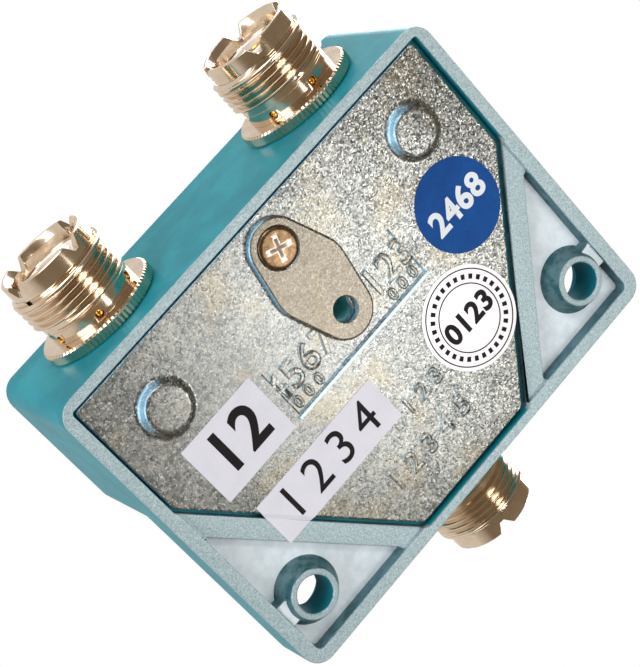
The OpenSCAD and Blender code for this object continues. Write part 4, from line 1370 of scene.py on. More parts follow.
@dataclass
class Cover:
    """The rear cover plate with its panel, raised rule, numbers and two buttons."""

    shape: Shape
    face: float = 0.5
    thick: float = 1.5
    gap: float = 0.65
    rim: tuple[float, float, float] = (1.9, 1.6, 1.45)
    slant: float = 24.25
    shift: float = 0.28
    button: Point = (26.0, 16.25)
    button_high: float = 1.25
    foot: float = 8.3
    top: float = 6.6
    panel: tuple[float, float, float, float] = (-14.0, 0.8, 13.8, 9.4)
    panel_deep: float = 0.32
    rule: tuple[float, float, float] = (-14.3, 14.2, 0.45)
    rule_wide: float = 0.5
    holes: tuple[Point, ...] = ((-0.15, 19.85), (-1.2, 6.49))
    hole: float = 3.8
    edge: float = 0.26
    relief: float = 0.26
    rows: tuple[tuple[str, float, float, float, bool], ...] = (
        ("0123", 6.0, -8.6, 5.4, True),
        ("4567", 6.0, 8.6, 5.4, True),
        ("0 0 0", 2.6, -10.2, 2.1, True),
        ("0 0 0", 2.6, 10.2, 2.1, True),
        ("1 2 3", 3.6, -1.5, -11.0, False),
        ("1 2 3 4 5", 4.4, 2.9, -17.3, False),
    )

    def dome(self, side: int) -> Piece:
        """One raised button with a rolled edge and a hollow flared foot.

        Args:
            side: 1 for the button at +x, -1 for the other.

        Returns:
            The button.
        """
        foot, top, high, z = self.foot / 2, self.top / 2, self.button_high, self.face
        section = [(0, z + 0.4), (foot + 0.5, z + 0.4), (foot + 0.45, z), (foot + 0.18, z - 0.03)]
        section += [(foot - 0.04, z - 0.1), (foot - 0.22, z - 0.24), (foot - 0.36, z - 0.46)]
        section += [(top + 0.26, z - high + 0.42), (top + 0.16, z - high + 0.2), (top, z - high + 0.07)]
        section += [(top - 0.22, z - high + 0.01), (top - 0.5, z - high), (0, z - high)]
        return Bench.lathe("button", section, 64, (side * self.button[0], self.button[1]))

    def build(self) -> Piece:
        """Cuts the plate, sinks the panel and raises the buttons and the rule.

        Returns:
            The cover, without its numbers.
        """
        s, g = self.shape, self.gap
        side, top = s.half_w - self.rim[0] - g, s.half_h - self.rim[1] - g
        bottom = s.half_h - self.rim[2] - g + self.shift * 0.6
        outline = s.six(side, top, bottom, self.slant, (0.6, 1.4, 1.4))
        outline = [(x + self.shift, y + self.shift) for x, y in outline]
        plate = Bench.prism("cover_plate", outline, self.face, self.face + self.thick)
        Bench.soften_where(plate, lambda p, q: max(p.z, q.z) < self.face + 0.05, self.edge, 3)
        x0, y0, x1, y1 = self.panel
        middle = ((x0 + x1) / 2, (y0 + y1) / 2)
        floor = self.face + self.panel_deep
        Bench.carve(plate, Bench.prism("panel", box(*self.panel), self.face - 0.2, floor, 0.97, middle))
        for number in (-1, 1):
            Bench.carve(plate, self.dome(number), Cut.ADD)
        a, b, y = self.rule
        corners = box(a, y - self.rule_wide / 2, b, y + self.rule_wide / 2)
        rule = Bench.prism("rule", corners, self.face + 0.3, self.face - 0.3, 0.98, (0, y))
        Bench.carve(plate, rule, Cut.ADD)
        for at in self.holes:
            Bench.carve(plate, Bench.rod("hole", self.hole / 2, -1, 4, 48, at))
        return Bench.smooth(plate, 32)

    def numbers(self) -> Piece:
        """Plain raised numbers in the panel and in a small row below it.

        Returns:
            The numbers, joined.
        """
        made = []
        for words, size, x, y, sunk in self.rows:
            piece = Bench.lettering("row", words, size, 2 * self.relief, 1.05, 0.0, self.relief * 0.6)
            z = self.face + (self.panel_deep if sunk else 0.0)
            made.append(Bench.place(piece, moved(x, y, z, 180, "Y")))
        return Bench.join("cover_numbers", made)


@dataclass
class Tab:
    """The oval tab plate and the cross-head screw that holds it."""

    face: float = 0.5
    thick: float = 1.0
    screw: Point = (-0.15, 19.85)
    open_hole: Point = (-1.2, 6.49)
    end: float = 4.4
    middle: float = 6.2
    hole: float = 3.8
    head: float = 6.0
    head_high: float = 0.25
    cross: float = 0.62
    cross_turn: float = 20.0
    shank: float = 1.7
    edge: float = 0.38
    hole_edge: float = 0.14
    screw_edge: float = 0.06

    def outline(self) -> list[Point]:
        """The oval that runs round both holes.

        Returns:
            The outline's corners.
        """
        points: list[Point] = []
        centre = ((self.screw[0] + self.open_hole[0]) / 2, (self.screw[1] + self.open_hole[1]) / 2 + 0.2)
        for at, radius in ((self.screw, self.end), (centre, self.middle), (self.open_hole, self.end)):
            points += arc(at, radius, 0, 356.25, 95)
        return hull(points)

    def plate(self) -> Piece:
        """Stamps the tab, with a rolled edge and a dish for the screw.

        Returns:
            The tab.
        """
        low, head = self.face - self.thick, self.head / 2
        hole = Vector(self.open_hole)
        piece = Bench.prism("tab_stamped", self.outline(), self.face, low)
        Bench.soften_where(piece, lambda p, q: max(p.z, q.z) < low + 0.05, self.edge, 4)
        Bench.carve(piece, Bench.rod("hole", self.hole / 2, -1, 3, 48, self.open_hole))
        dish = [(0, -2), (head + 0.3, -2), (head + 0.24, low), (head + 0.12, low + 0.08)]
        dish += [(self.shank, low + 0.7), (self.shank, 3), (0, 3)]
        Bench.carve(piece, Bench.lathe("dish", dish, 64, self.screw))
        rim = self.hole / 2 + 0.3

        def at_rim(p: Vector, q: Vector) -> bool:
            """Whether an edge lies at the open hole's rim."""
            return max(p.z, q.z) < low + 0.05 and (p.xy - hole).length < rim

        Bench.soften_where(piece, at_rim, self.hole_edge, 2)
        return Bench.smooth(piece, 35)

    def fastener(self) -> Piece:
        """Turns the screw and cuts its cross.

        Returns:
            The screw.
        """
        low, head = self.face - self.thick, self.head / 2
        top = low - self.head_high
        half, long = self.cross / 2, self.head * 0.29
        section = [(0, top), (0.8 * head, top + 0.04), (0.92 * head, top + 0.12), (head - 0.02, low - 0.04)]
        section += [(head, low + 0.1), (1.6, low + 0.85), (1.5, low + 1.1), (1.5, 6.0), (1.1, 6.4), (0, 6.4)]
        piece = Bench.lathe("cross_head_screw", section, 64, self.screw)
        for turn in (self.cross_turn, self.cross_turn + 90):
            wing = Bench.prism("wing", box(-long, -half, long, half), top - 1, top + 1.3, 0.55)
            Bench.carve(piece, Bench.place(wing, moved(*self.screw, 0, turn)))
        Bench.soften(piece, self.screw_edge, 2, 38)
        return Bench.smooth(piece, 32)


@dataclass
class Socket:
    """One threaded coaxial socket, modelled once along +z and copied to its three places."""

    shape: Shape
    across: float = 21.0
    high: float = 14.0
    wall: float = 2.8
    flange: float = 19.2
    flange_bore: float = 13.8
    flange_thick: float = 1.9
    teeth: int = 80
    tooth_deep: float = 0.3
    neck: float = 14.5
    neck_long: float = 2.1
    major: float = 15.875
    pitch: float = 1.0583
    turns: int = 5
    thread_steps: int = 72
    run_out: int = 16
    tooth: float = 0.62
    collar_long: float = 0.62
    crown: float = 14.4
    crown_long: float = 3.1
    undercut: float = 0.4
    mouth: float = 12.0
    bore: float = 10.8
    spigot: float = 13.6
    flare: float = 0.6
    flare_long: float = 1.1
    notch: float = 2.9
    notch_foot: float = 0.7
    notch_deep: float = 1.7
    notch_reach: Point = (4.0, 9.0)
    notch_turns: tuple[float, float, float] = (76.0, 23.0, 12.0)
    pins_round: int = 6
    pin_rise: float = 0.9
    pin_turns: tuple[float, float, float] = (39.0, 20.0, 0.0)
    resin_drop: float = 2.6
    resin_back: float = 0.8
    collar: float = 7.0
    collar_high: float = 0.6
    contact_sink: float = 0.8
    pin_bore: float = 4.0
    pin_outer: float = 5.2
    pin_deep: float = 10.0
    slit: Point = (0.4, 5.0)
    tail: float = 3.0
    tail_long: float = 4.6
    tail_slot: Point = (0.64, 2.0)
    seat: float = 14.2
    edge: float = 0.07

    @property
    def thread_start(self) -> float:
        """Where the thread begins."""
        return self.flange_thick + self.neck_long

    @property
    def crown_start(self) -> float:
        """Where the crown begins."""
        return self.thread_start + self.turns * self.pitch + 0.35

    @property
    def length(self) -> float:
        """Length of the socket outside the wall."""
        return self.crown_start + self.crown_long

    def matrix(self, way: Way) -> Matrix:
        """Stands the socket in its wall.

        Args:
            way: The socket's place.

        Returns:
            The matrix that moves the model there.
        """
        x = {Way.A: -self.across, Way.B: self.across, Way.COMMON: 0.0}[way]
        y = -self.shape.half_h if way is Way.COMMON else self.shape.half_h
        turn = 90 if way is Way.COMMON else -90
        return moved(x, y, self.high, turn, "X")

    def knurl(self) -> Piece:
        """The flange, with straight teeth pressed into its edge.

        Returns:
            The flange.
        """
        r, t, inner = self.flange / 2, self.flange_thick, self.flange_bore / 2
        section = [(inner, 0), (r - 0.35, 0), (r, 0.3), (r, t - 0.3), (r - 0.35, t), (inner, t)]
        ring = Bench.lathe("flange", section, 2 * self.teeth)
        return Bench.smooth(Bench.flute(ring, self.teeth, r - 0.2, (r - self.tooth_deep) / r), 24)

    def thread(self) -> Piece:
        """The true helix of the coupling thread, which runs out at both ends.

        Returns:
            The thread, open towards the axis.
        """
        root, crest, p = self.major / 2 - self.tooth - 0.05, self.major / 2, self.pitch
        z = self.thread_start + 0.52 * p
        rise = [(root, 0.47), (crest - 0.04, 0.1), (crest, 0.05)]
        section = [(r, z - h * p) for r, h in rise] + [(r, z + h * p) for r, h in rise[::-1]]
        helix = Bench.upright("thread", section)
        step = helix.modifiers.new("wind", "SCREW")
        step.axis = "Z"
        step.screw_offset = p * MM
        step.iterations = self.turns
        step.steps = step.render_steps = self.thread_steps
        step.use_merge_vertices = False
        bpy.ops.object.modifier_apply(modifier=step.name)
        corners, rows = helix.data.vertices, len(section)
        columns = len(corners) // rows
        base = (root - 0.05) * MM
        for k in range(self.run_out):
            share = 1 - (1 - (k / self.run_out)) ** 2
            for column in (k, columns - 1 - k):
                for vertex in corners[column * rows : (column + 1) * rows]:
                    radius = vertex.co.xy.length
                    aim = base + (radius - base) * share
                    vertex.co.x *= aim / radius
                    vertex.co.y *= aim / radius
        return Bench.smooth(helix, 40)

    def barrel_section(self) -> list[Point]:
        """Radius and height of the turned body's corners, from the spigot to the crown and back inside.

        Returns:
            The corners, in order.
        """
        bore, spigot, neck, major = self.bore / 2, self.spigot / 2, self.neck / 2, self.major / 2
        crown, mouth, root = self.crown / 2, self.mouth / 2, self.major / 2 - self.tooth
        seat = self.seat / 2
        low, flange, thread = -self.wall, self.flange_thick, self.thread_start
        top, end = self.crown_start, self.length
        collar, step, resin = top - self.collar_long, top + self.undercut, end - self.resin_drop
        section = [(bore, low), (spigot - 0.2, low), (spigot, low + 0.2), (spigot, 0.5)]
        section += [(seat, 0.5), (seat, flange), (neck, flange), (neck, thread - 0.05)]
        section += [(root, thread + 0.05), (root, collar - 0.35), (major - 0.12, collar - 0.02)]
        section += [(major, collar + 0.1), (major, top - 0.2), (major - 0.16, top)]
        section += [(crown - 0.35, top), (crown - 0.35, step), (crown - 0.05, step), (crown, step + 0.08)]
        section += [(crown, end - 0.2), (crown - 0.18, end), (mouth + self.flare, end)]
        return section + [(mouth, end - self.flare_long), (mouth, resin), (bore, resin)]

    def barrel(self) -> Piece:
        """The turned body, from the spigot to the notched crown.

        Returns:
            The body.
        """
        end = self.length
        body = Bench.lathe("barrel", self.barrel_section(), 128)
        half, deep = self.notch_foot / 2, self.notch_deep
        wide = self.notch / 2 + (self.notch - self.notch_foot) / 2 / deep
        stand = Matrix(((0, 0, 1, 0), (1, 0, 0, 0), (0, 1, 0, (end - deep) * MM), (0, 0, 0, 1)))
        corners = [(-half, 0), (half, 0), (wide, deep + 1), (-wide, deep + 1)]
        for k in range(4):
            tool = Bench.prism("notch", corners, *self.notch_reach)
            Bench.carve(body, Bench.place(tool, moved(turn=90 * k) @ stand))
        Bench.soften(body, self.edge, 2, 42)
        return Bench.smooth(body, 28)

    def round_neck(self, name: str, section: Sequence[Point]) -> Piece:
        """Sets copies of one small turned piece round the neck, pointing outwards.

        Args:
            name: The joined piece's name.
            section: Radius of each corner and its distance from the socket's axis.

        Returns:
            The joined copies.
        """
        made = []
        for k in range(self.pins_round):
            side = moved(z=self.flange_thick + self.pin_rise, turn=360 * k / self.pins_round)
            piece = Bench.place(Bench.lathe(name, section, 20), side @ moved(turn=90, axis="Y"))
            made.append(Bench.smooth(piece, 40))
        return Bench.join(name, made)

    def pins(self) -> Piece:
        """Small gilt pins that hold the resin, one in each dimple of the neck."""
        section = [(0, 5.6), (0.6, 5.6), (0.6, 6.75), (0.45, 6.95), (0.25, 7.04), (0, 7.07)]
        return self.round_neck("pins", section)

    def shell(self) -> Piece:
        """The whole metal shell."""
        return Bench.join("shell", [self.barrel(), self.knurl(), self.thread()])

    def dimpled(self, shell: Piece, turn: float) -> Piece:
        """Sinks the pins' dimples in a shell's neck, turned by an angle in degrees.

        Args:
            shell: The shell.
            turn: Angle of the first dimple, in degrees.

        Returns:
            The same shell.
        """
        tool = self.round_neck("dimples", [(0, 6.4), (0.62, 6.4), (0.7, 9), (0, 9)])
        return Bench.smooth(Bench.carve(shell, Bench.place(tool, moved(turn=turn))), 28)

    def resin(self) -> Piece:
        """The white insulator with its collar.

        Returns:
            The insulator.
        """
        low, face = -self.wall - self.resin_back, self.length - self.resin_drop
        outer, inner, collar = self.bore / 2 - 0.03, self.pin_outer / 2 + 0.03, self.collar / 2
        top = face + self.collar_high
        section = [(inner, low), (outer - 0.2, low), (outer, low + 0.2), (outer, face - 0.15)]
        section += [(outer - 0.15, face), (collar + 0.25, face)]
        section += [(collar + 0.05, face + 0.08), (collar, face + 0.3)]
        section += [(collar, top - 0.15), (collar - 0.15, top), (inner + 0.1, top), (inner, top - 0.1)]
        return Bench.smooth(Bench.lathe("resin", section, 96), 28)

    def contact(self) -> Piece:
        """The centre contact, slit in four, with its solder tail.

        Returns:
            The contact.
        """
        low = -self.wall - self.resin_back
        top = self.length - self.resin_drop + self.collar_high - self.contact_sink
        outer, inner, floor = self.pin_outer / 2, self.pin_bore / 2, top - self.pin_deep
        tail, end = self.tail / 2, low - self.tail_long
        section = [(0, end), (tail - 0.15, end), (tail, end + 0.2), (tail, low), (outer - 0.1, low)]
        section += [(outer, low + 0.1), (outer, top - 0.2), (outer - 0.2, top)]
        section += [(inner + 0.2, top), (inner, top - 0.25), (inner, floor), (0, floor)]
        piece = Bench.lathe("contact", section, 64)
        half, deep = self.slit[0] / 2, self.slit[1]
        for turn in (0, 90):
            slit = Bench.prism("slit", box(-4, -half, 4, half), top - deep, top + 1)
            Bench.carve(piece, Bench.place(slit, moved(turn=turn)))
        half, deep = self.tail_slot[0] / 2, self.tail_slot[1]
        Bench.carve(piece, Bench.prism("slot", box(-3, -half, 3, half), end - 1, end + deep))
        return Bench.smooth(piece, 30)


@dataclass
class Dial:
    """The black dial plate on the front, with its two numbered places."""

    low: float = 27.3
    thick: float = 0.6
    across: float = 40.0
    hole: float = 9.5
    mark_in: float = 15.3
    mark_out: float = 17.2
    mark_wide: float = 0.6
    sweep: Point = (16.05, 16.3)
    sweep_gap: float = 6.0
    ink: float = 0.1
    digit_out: float = 17.4
    digit_high: float = 3.6
    digit_swing: float = 12.24
    places: tuple[float, float] = (135.0, 45.0)

    def plate(self) -> Piece:
        """Turns the plate with a rolled edge and a fine raised lip.

        Returns:
            The plate.
        """
        r, top, hole = self.across / 2, self.low + self.thick, self.hole / 2
        section = [(hole, self.low), (r, self.low), (r, top - 0.2), (r - 0.1, top - 0.06), (r - 0.3, top)]
        section += [(r - 0.7, top), (r - 0.8, top - 0.08), (r - 0.95, top - 0.12), (hole, top - 0.12)]
        return Bench.smooth(Bench.lathe("dial_turned", section, 128), 30)

    def print(self) -> Piece:
        """Prints the marks, the numbers 1 and 2 and a line that sweeps from one to the other.

        Returns:
            The prints, joined.
        """
        made, z, half = [], self.low + self.thick - self.ink, self.mark_wide / 2
        for number, angle in enumerate(self.places, 1):
            bar = Bench.prism("mark", box(self.mark_in, -half, self.mark_out, half), z - self.ink, z)
            made.append(Bench.place(bar, moved(turn=angle)))
            x, y = arc((0, 0), self.digit_out, angle, angle, 1)[0]
            swing = self.digit_swing if number == 1 else -self.digit_swing
            digit = Bench.lettering("digit", str(number), self.digit_high, self.ink)
            made.append(Bench.place(digit, moved(turn=swing) @ moved(x, y, z - self.ink / 2, -swing)))
        start, end = self.places[1] + self.sweep_gap, self.places[0] - self.sweep_gap
        inner, outer = self.sweep
        line = arc((0, 0), outer, start, end, 40) + arc((0, 0), inner, end, start, 40)
        made.append(Bench.prism("sweep", line, z - self.ink, z))
        return Bench.smooth(Bench.join("dial_marks", made), 30)


@dataclass
class Knob:
    """The pointer knob: a fluted skirt, a hub and a rounded grip bar."""

    low: float = 28.5
    skirt: float = 29.0
    skirt_high: float = 4.4
    hub: float = 16.0
    hub_high: float = 7.4
    bar: Point = (28.0, 8.6)
    bar_high: float = 12.4
    hollow: float = 20.0
    hollow_tops: tuple[float, float, float] = (31.5, 34.7, 42.9)
    shaft_hole: float = 5.3
    flutes: int = 36
    flute_share: float = 0.975
    rest: float = 135.0
    set_screw: float = 3.0
    bar_edge: float = 0.9
    edge: float = 0.15
    line: Point = (2.0, 13.0)
    line_wide: float = 1.4
    line_deep: float = 0.52

    def build(self) -> Piece:
        """Moulds the knob in one piece with its pointer towards the first place.

        Returns:
            The knob.
        """
        r, low, inner = self.skirt / 2, self.low, self.shaft_hole
        top = low + self.skirt_high
        section = [(inner, low), (r - 0.3, low), (r, low + 0.3), (r, top - 1.2), (r - 0.35, top - 0.4)]
        body = Bench.lathe("knob_moulded", section + [(r - 1.2, top), (inner, top)], 2 * self.flutes)
        Bench.flute(body, self.flutes, r - 0.1, self.flute_share)
        hub, hub_top = self.hub / 2, top + self.hub_high
        core = [(0, low + 1), (hub - 0.1, low + 1), (hub - 0.1, top - 0.3), (hub + 0.6, top - 0.02)]
        core += [(hub + 0.12, top + 0.35), (hub, top + 1.0), (hub - 0.2, hub_top - 0.8)]
        core += [(hub - 0.8, hub_top - 0.15), (hub - 1.6, hub_top), (0, hub_top)]
        Bench.carve(body, Bench.lathe("hub", core, 96), Cut.ADD)
        long, wide, bar_top = self.bar[0] / 2, self.bar[1] / 2, top + self.bar_high
        ends = arc((long - wide, 0), wide, -90, 90, 16) + arc((-long + wide, 0), wide, 90, 270, 16)
        grip = Bench.prism("grip", ends, top - 1, bar_top)
        Bench.soften_where(grip, lambda p, q: min(p.z, q.z) > bar_top - 0.1, self.bar_edge, 4)
        Bench.carve(body, grip, Cut.ADD)
        roof, step, end = self.hollow_tops
        wall = self.hollow / 2
        hollow = [(0, low - 1), (wall, low - 1), (wall, roof), (inner, roof), (inner, step)]
        Bench.carve(body, Bench.lathe("hollow", hollow + [(3, step), (3, end), (0, end)], 64))
        screw = Bench.rod("screw_hole", self.set_screw / 2, 1, 12, 32)
        Bench.carve(body, Bench.place(screw, moved(z=(step + hub_top) / 2, turn=-90, axis="X")))
        Bench.soften(body, self.edge, 2, 40)
        corners = box(self.line[0], -self.line_wide / 2, self.line[1], self.line_wide / 2)
        Bench.carve(body, Bench.prism("line_slot", corners, bar_top - self.line_deep, bar_top + 1))
        Bench.smooth(body, 30)
        return Bench.place(body, moved(turn=self.rest))


@dataclass
class Prints:
    """Generic prints on the stuck-on labels: plain numbers, a ring and dashes."""

    face: float = 0.38
    film: float = 0.03
    blue: Point = (-23.85, 3.8)
    silver: Point = (-13.95, -9.1)
    white: Point = (22.1, 5.2)
    strip: Point = (15.1, -7.2)
    rings: Point = (4.9, 7.0)
    ring_wide: float = 0.18
    dashes: int = 30
    dash_reach: Point = (5.6, 6.35)

    def lay(self, name: str, points: Sequence[Point], at: Point) -> Piece:
        """Lays one thin printed shape on a label.

        Args:
            name: The piece's name.
            points: Corners of the shape, round its label's centre.
            at: Centre of the label.

        Returns:
            The printed shape.
        """
        piece = Bench.prism(name, points, self.face - self.film, self.face + 0.02)
        return Bench.smooth(Bench.place(piece, moved(*at)), 30)

    def numbers(self, name: str, words: str, size: float, at: Point, spacing: float, bold: float) -> Piece:
        """Prints plain numbers, which read along -X from behind.

        Args:
            name: The piece's name.
            words: The numbers.
            size: Size of the type, in millimetres.
            at: Centre of the numbers.
            spacing: Share of the usual distance between two characters.
            bold: Width added at each side of a stroke.

        Returns:
            The printed numbers.
        """
        piece = Bench.lettering(name, words, size, self.film + 0.01, spacing, bold)
        return Bench.place(piece, moved(*at, self.face - 0.01, 180, "Y"))

    def ring(self) -> Piece:
        """Two thin black rings and a round of dashes between them, on the silver label.

        Returns:
            The rings and dashes, joined.
        """
        made = []
        for radius in self.rings:
            section = box(radius, self.face - self.film, radius + self.ring_wide, self.face + 0.02)
            made.append(Bench.smooth(Bench.lathe("ring", section, 96, self.silver), 30))
        inner, outer = self.dash_reach
        wide = 180 / self.dashes
        for k in range(self.dashes):
            start = 2 * wide * k
            dash = arc((0, 0), outer, start, start + wide, 2) + arc((0, 0), inner, start + wide, start, 2)
            made.append(self.lay("dash", dash, self.silver))
        return Bench.join("silver_label_ring", made)


# ---------------------------------------------------------------- the studio


@dataclass(frozen=True)
class Softbox:
    """One rectangular light that looks at the object; its lengths are metres and its power watts."""

    name: str
    aim: tuple[float, float, float]
    distance: float
    size: Point
    power: float
    tint: Colour
    mirrored: bool = True

    def hang(self) -> None:
        """Adds the light to the scene, hidden from bright metal if it isn't to be mirrored."""
        data = bpy.data.lights.new(self.name, "AREA")
        data.shape = "RECTANGLE"
        data.size, data.size_y = self.size
        data.energy = self.power
        data.color = self.tint
        holder = bpy.data.objects.new(self.name, data)
        bpy.context.scene.collection.objects.link(holder)
        way = Vector(self.aim).normalized()
        holder.location = way * self.distance + Vector((0, 0, 0.012))
        holder.rotation_mode = "QUATERNION"
        holder.rotation_quaternion = way.to_track_quat("Z", "Y")
        holder.visible_glossy = self.mirrored


@dataclass(frozen=True)
class Studio:
    """A plain pale floor, soft lights, a white surround and the photograph's camera."""

    centre: tuple[float, float, float] = (65.071, 109.327, -247.466)
    right: tuple[float, float, float] = (-0.64407, -0.63766, -0.42257)
    down: tuple[float, float, float] = (0.73182, -0.67446, -0.09767)
    forward: tuple[float, float, float] = (-0.22272, -0.37216, 0.90105)
    focal: float = 2001.89
    frame_high: float = 667.0
    bright_side: tuple[float, float, float] = (0.55, 0.35, 0.75)
    surround_strength: float = 0.84
    dark_stop: Colour = (0.28, 0.23, 0.17)
    light_stop: Colour = (0.96, 0.93, 0.90)
    pale: tuple[Colour, Colour] = ((0.60, 0.60, 0.60), (0.63, 0.63, 0.625))
    lights: tuple[Softbox, ...] = (
        Softbox("mirror_softbox", (-0.23, -0.32, -0.9), 0.2, (0.07, 0.07), 0.07, (1, 0.99, 0.97)),
        Softbox("edge_softbox", (-0.2, 0.62, -0.76), 0.5, (0.14, 0.08), 0.5, (1, 1, 1)),
        Softbox("left_softbox", (0.9, 0.5, -0.5), 0.5, (0.35, 0.3), 1.2, (0.92, 0.97, 1)),
        Softbox("far_strip", (0.2, 1.0, -0.3), 0.6, (0.6, 0.15), 0.9, (0.97, 0.99, 1)),
        Softbox("top_softbox", (-0.7, -0.5, 1.1), 0.7, (0.6, 0.6), 6.0, (1, 1, 1)),
        Softbox("top_fill", (-0.9, 0.5, 0.8), 0.7, (0.5, 0.5), 3.0, (0.98, 0.99, 1)),
        Softbox("matte_fill", (-0.35, -0.4, -0.9), 0.6, (0.4, 0.4), 1.35, (0.97, 0.99, 1), mirrored=False),
    )

    def camera(self) -> None:
        """Stands the camera at the photograph's viewing angle."""
        data = bpy.data.cameras.new("camera")
        data.sensor_width = 36
        data.lens = 36 * self.focal / self.frame_high
        data.clip_start, data.clip_end = 0.01, 10
        holder = bpy.data.objects.new("camera", data)
        bpy.context.scene.collection.objects.link(holder)
        axes = (Vector(self.right), -Vector(self.down), -Vector(self.forward))
        turn = Matrix([[axes[c][r] for c in range(3)] for r in range(3)])
        holder.matrix_world = Matrix.Translation(Vector(self.centre) * MM) @ turn.to_4x4()
        bpy.context.scene.camera = holder

    def surround(self) -> None:
        """Paints the world: white to the camera, and a soft studio with one dark side to the object."""
        g = Graph("studio", bpy.data.worlds)
        bpy.context.scene.world = g.owner
        way = g.node("ShaderNodeTexCoord").outputs["Generated"]
        sockets = {"Vector": way, "Scale": 2.2, "Detail": 1.0}
        cloud = Tone(g, g.node("ShaderNodeTexNoise", sockets=sockets).outputs[0])
        side = g.node("ShaderNodeVectorMath", {"operation": "DOT_PRODUCT"}, {0: way, 1: self.bright_side})
        ramp = g.node("ShaderNodeValToRGB", sockets={"Fac": cloud * 0.5 + side.outputs["Value"]})
        stops = ramp.color_ramp.elements
        stops[0].position, stops[0].color = 0.02, (*self.dark_stop, 1)
        stops[1].position, stops[1].color = 0.6, (*self.light_stop, 1)
        sockets = {"Color": ramp.outputs["Color"], "Strength": self.surround_strength}
        soft = g.node("ShaderNodeBackground", sockets=sockets)
        white = g.node("ShaderNodeBackground", sockets={"Color": (1, 1, 1), "Strength": 1.0})
        seen = g.node("ShaderNodeLightPath").outputs["Is Camera Ray"]
        both = g.node("ShaderNodeMixShader", sockets={0: seen, 1: soft.outputs[0], 2: white.outputs[0]})
        g.node("ShaderNodeOutputWorld", sockets={"Surface": both.outputs[0]})

    def floor(self) -> None:
        """Lays a pale floor that shows from above and is clear from below."""
        Bench.rest()
        bpy.ops.mesh.primitive_plane_add(size=4, location=(0, 0, -0.0003))
        floor = bpy.context.object
        floor.name = "floor"
        g = Graph("pale_floor")
        cloudy = g.blend(g.noise(60.0).ramp(0.2, 0.8), *self.pale)
        pale = g.node("ShaderNodeBsdfDiffuse", sockets={"Color": cloudy})
        clear = g.node("ShaderNodeBsdfTransparent")
        side = g.node("ShaderNodeNewGeometry").outputs["Backfacing"]
        both = g.node("ShaderNodeMixShader", sockets={0: side, 1: pale.outputs[0], 2: clear.outputs[0]})
        g.node("ShaderNodeOutputMaterial", sockets={"Surface": both.outputs[0]})
        floor.data.materials.append(g.owner)
        for way in ("visible_shadow", "visible_diffuse", "visible_glossy", "visible_transmission"):
            setattr(floor, way, False)

    def build(self) -> None:
        """Sets up the whole studio."""
        self.floor()
        self.surround()
        self.camera()
        for softbox in self.lights:
            softbox.hang()
        view = bpy.context.scene.view_settings
        view.view_transform = "Standard"
        view.look = "None"


# ---------------------------------------------------------------- assembly


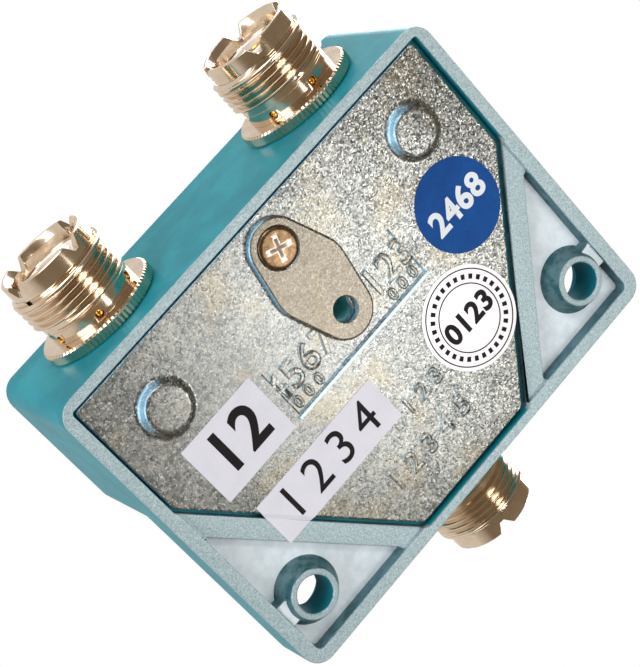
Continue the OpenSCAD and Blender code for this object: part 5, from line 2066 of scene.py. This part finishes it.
@dataclass
class Assembly:
    """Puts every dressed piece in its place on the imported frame."""

    frame: dict[str, Any]
    paints: dict[str, bpy.types.Material]
    stand: float = 0.75

    def add(self, piece: Piece, body: str, slot: str, nodes: Sequence[str] = (), finish: str = "") -> Piece:
        """Gives a piece its finish, its body and the CAD nodes that it stands for.

        Args:
            piece: The finished piece.
            body: The CAD body that it moves with.
            slot: The record's material slot.
            nodes: CAD nodes that it replaces.
            finish: The finish, where it isn't the slot's own.

        Returns:
            The piece.
        """
        Bench.place(piece, moved(z=self.stand))
        piece.data.materials.clear()
        piece.data.materials.append(self.paints[finish or slot])
        for face in piece.data.polygons:
            face.material_index = 0
        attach(piece, body)
        if nodes:
            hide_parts(*nodes)
        LOG.info("%s: %d faces on %s", piece.name, len(piece.data.polygons), body)
        return piece

    def sockets(self, shape: Shape) -> None:
        """Makes one socket's pieces and copies them to the three places.

        Args:
            shape: The housing's outlines, which give the walls.
        """
        socket = Socket(shape)
        made = (
            (socket.shell(), "shell", "nickel", "nickel"),
            (socket.resin(), "insulator", "white_resin", "white_resin"),
            (socket.contact(), "contact", "gold_brass", "gold_brass"),
            (socket.pins(), "pins", "nickel", "gold_brass"),
        )
        for model, stem, slot, finish in made:
            for number, way in enumerate(Way):
                twin = Bench.copy(model, f"{stem}_{way.value}_turned")
                notch, pin = socket.notch_turns[number], socket.pin_turns[number]
                if stem == "shell":
                    socket.dimpled(twin, pin - notch)
                Bench.place(twin, socket.matrix(way) @ moved(turn=pin if stem == "pins" else notch))
                nodes = [f"{stem}_{way.value}"] if stem != "pins" else []
                self.add(twin, "base", slot, nodes, finish)
            bpy.data.objects.remove(model)

    def carry_over(self) -> None:
        """Gives every CAD node its slot's finish, but the spare insert a lighter teal that is painted light.
        """
        slots = {part["node"]: part["material_slot"] for part in self.frame["record"]["subparts"]}
        for name, node in self.frame["nodes"].items():
            node.data.materials.clear()
            # The spare insert deep in its hole gets the lighter teal, which is painted light.
            finish = "painted_lit_teal" if name == "spare_insert" else slots[name]
            node.data.materials.append(self.paints[finish])

    def build(self) -> None:
        """Builds the sub-assemblies in order."""
        shape = Shape()
        self.carry_over()
        self.add(Housing(shape).build(), "base", "teal_paint", ["housing"])
        cover = Cover(shape)
        self.add(cover.build(), "base", "plated_steel", ["rear_cover"])
        self.add(cover.numbers(), "base", "plated_steel", finish="raised_zinc")
        tab = Tab()
        self.add(tab.plate(), "base", "dull_nickel", ["tab_plate"])
        self.add(tab.fastener(), "base", "brown_steel", ["tab_screw"])
        self.sockets(shape)
        prints = Prints()
        blue = prints.numbers("blue_label_numbers", "2468", 5.0, prints.blue, 1.05, 0.16)
        self.add(blue, "base", "blue_label", finish="film_white")
        self.add(prints.ring(), "base", "silver_label", finish="black_ink")
        silver = prints.numbers("silver_label_numbers", "0123", 4.4, prints.silver, 1.05, 0.16)
        self.add(silver, "base", "silver_label", finish="black_ink")
        white = prints.numbers("white_label_numbers", "12", 9.0, prints.white, 1.1, 0.2)
        self.add(white, "base", "white_label", finish="black_ink")
        strip = prints.numbers("strip_label_numbers", "1234", 7.4, prints.strip, 1.4, 0.0)
        self.add(strip, "base", "white_label", finish="black_ink")
        dial = Dial()
        self.add(dial.plate(), "base", "dial_black", ["dial_plate"])
        self.add(dial.print(), "base", "white_ink")
        self.add(Knob().build(), "rotor", "knob_black", ["knob"])


def main() -> None:
    """Loads the frame, dresses the switch and sets the studio up."""
    logging.basicConfig(level=logging.INFO, format="%(name)s: %(message)s")
    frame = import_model()
    Assembly(frame, finishes()).build()
    Studio().build()
    Bench.rest()


if __name__ == "__main__":
    main()
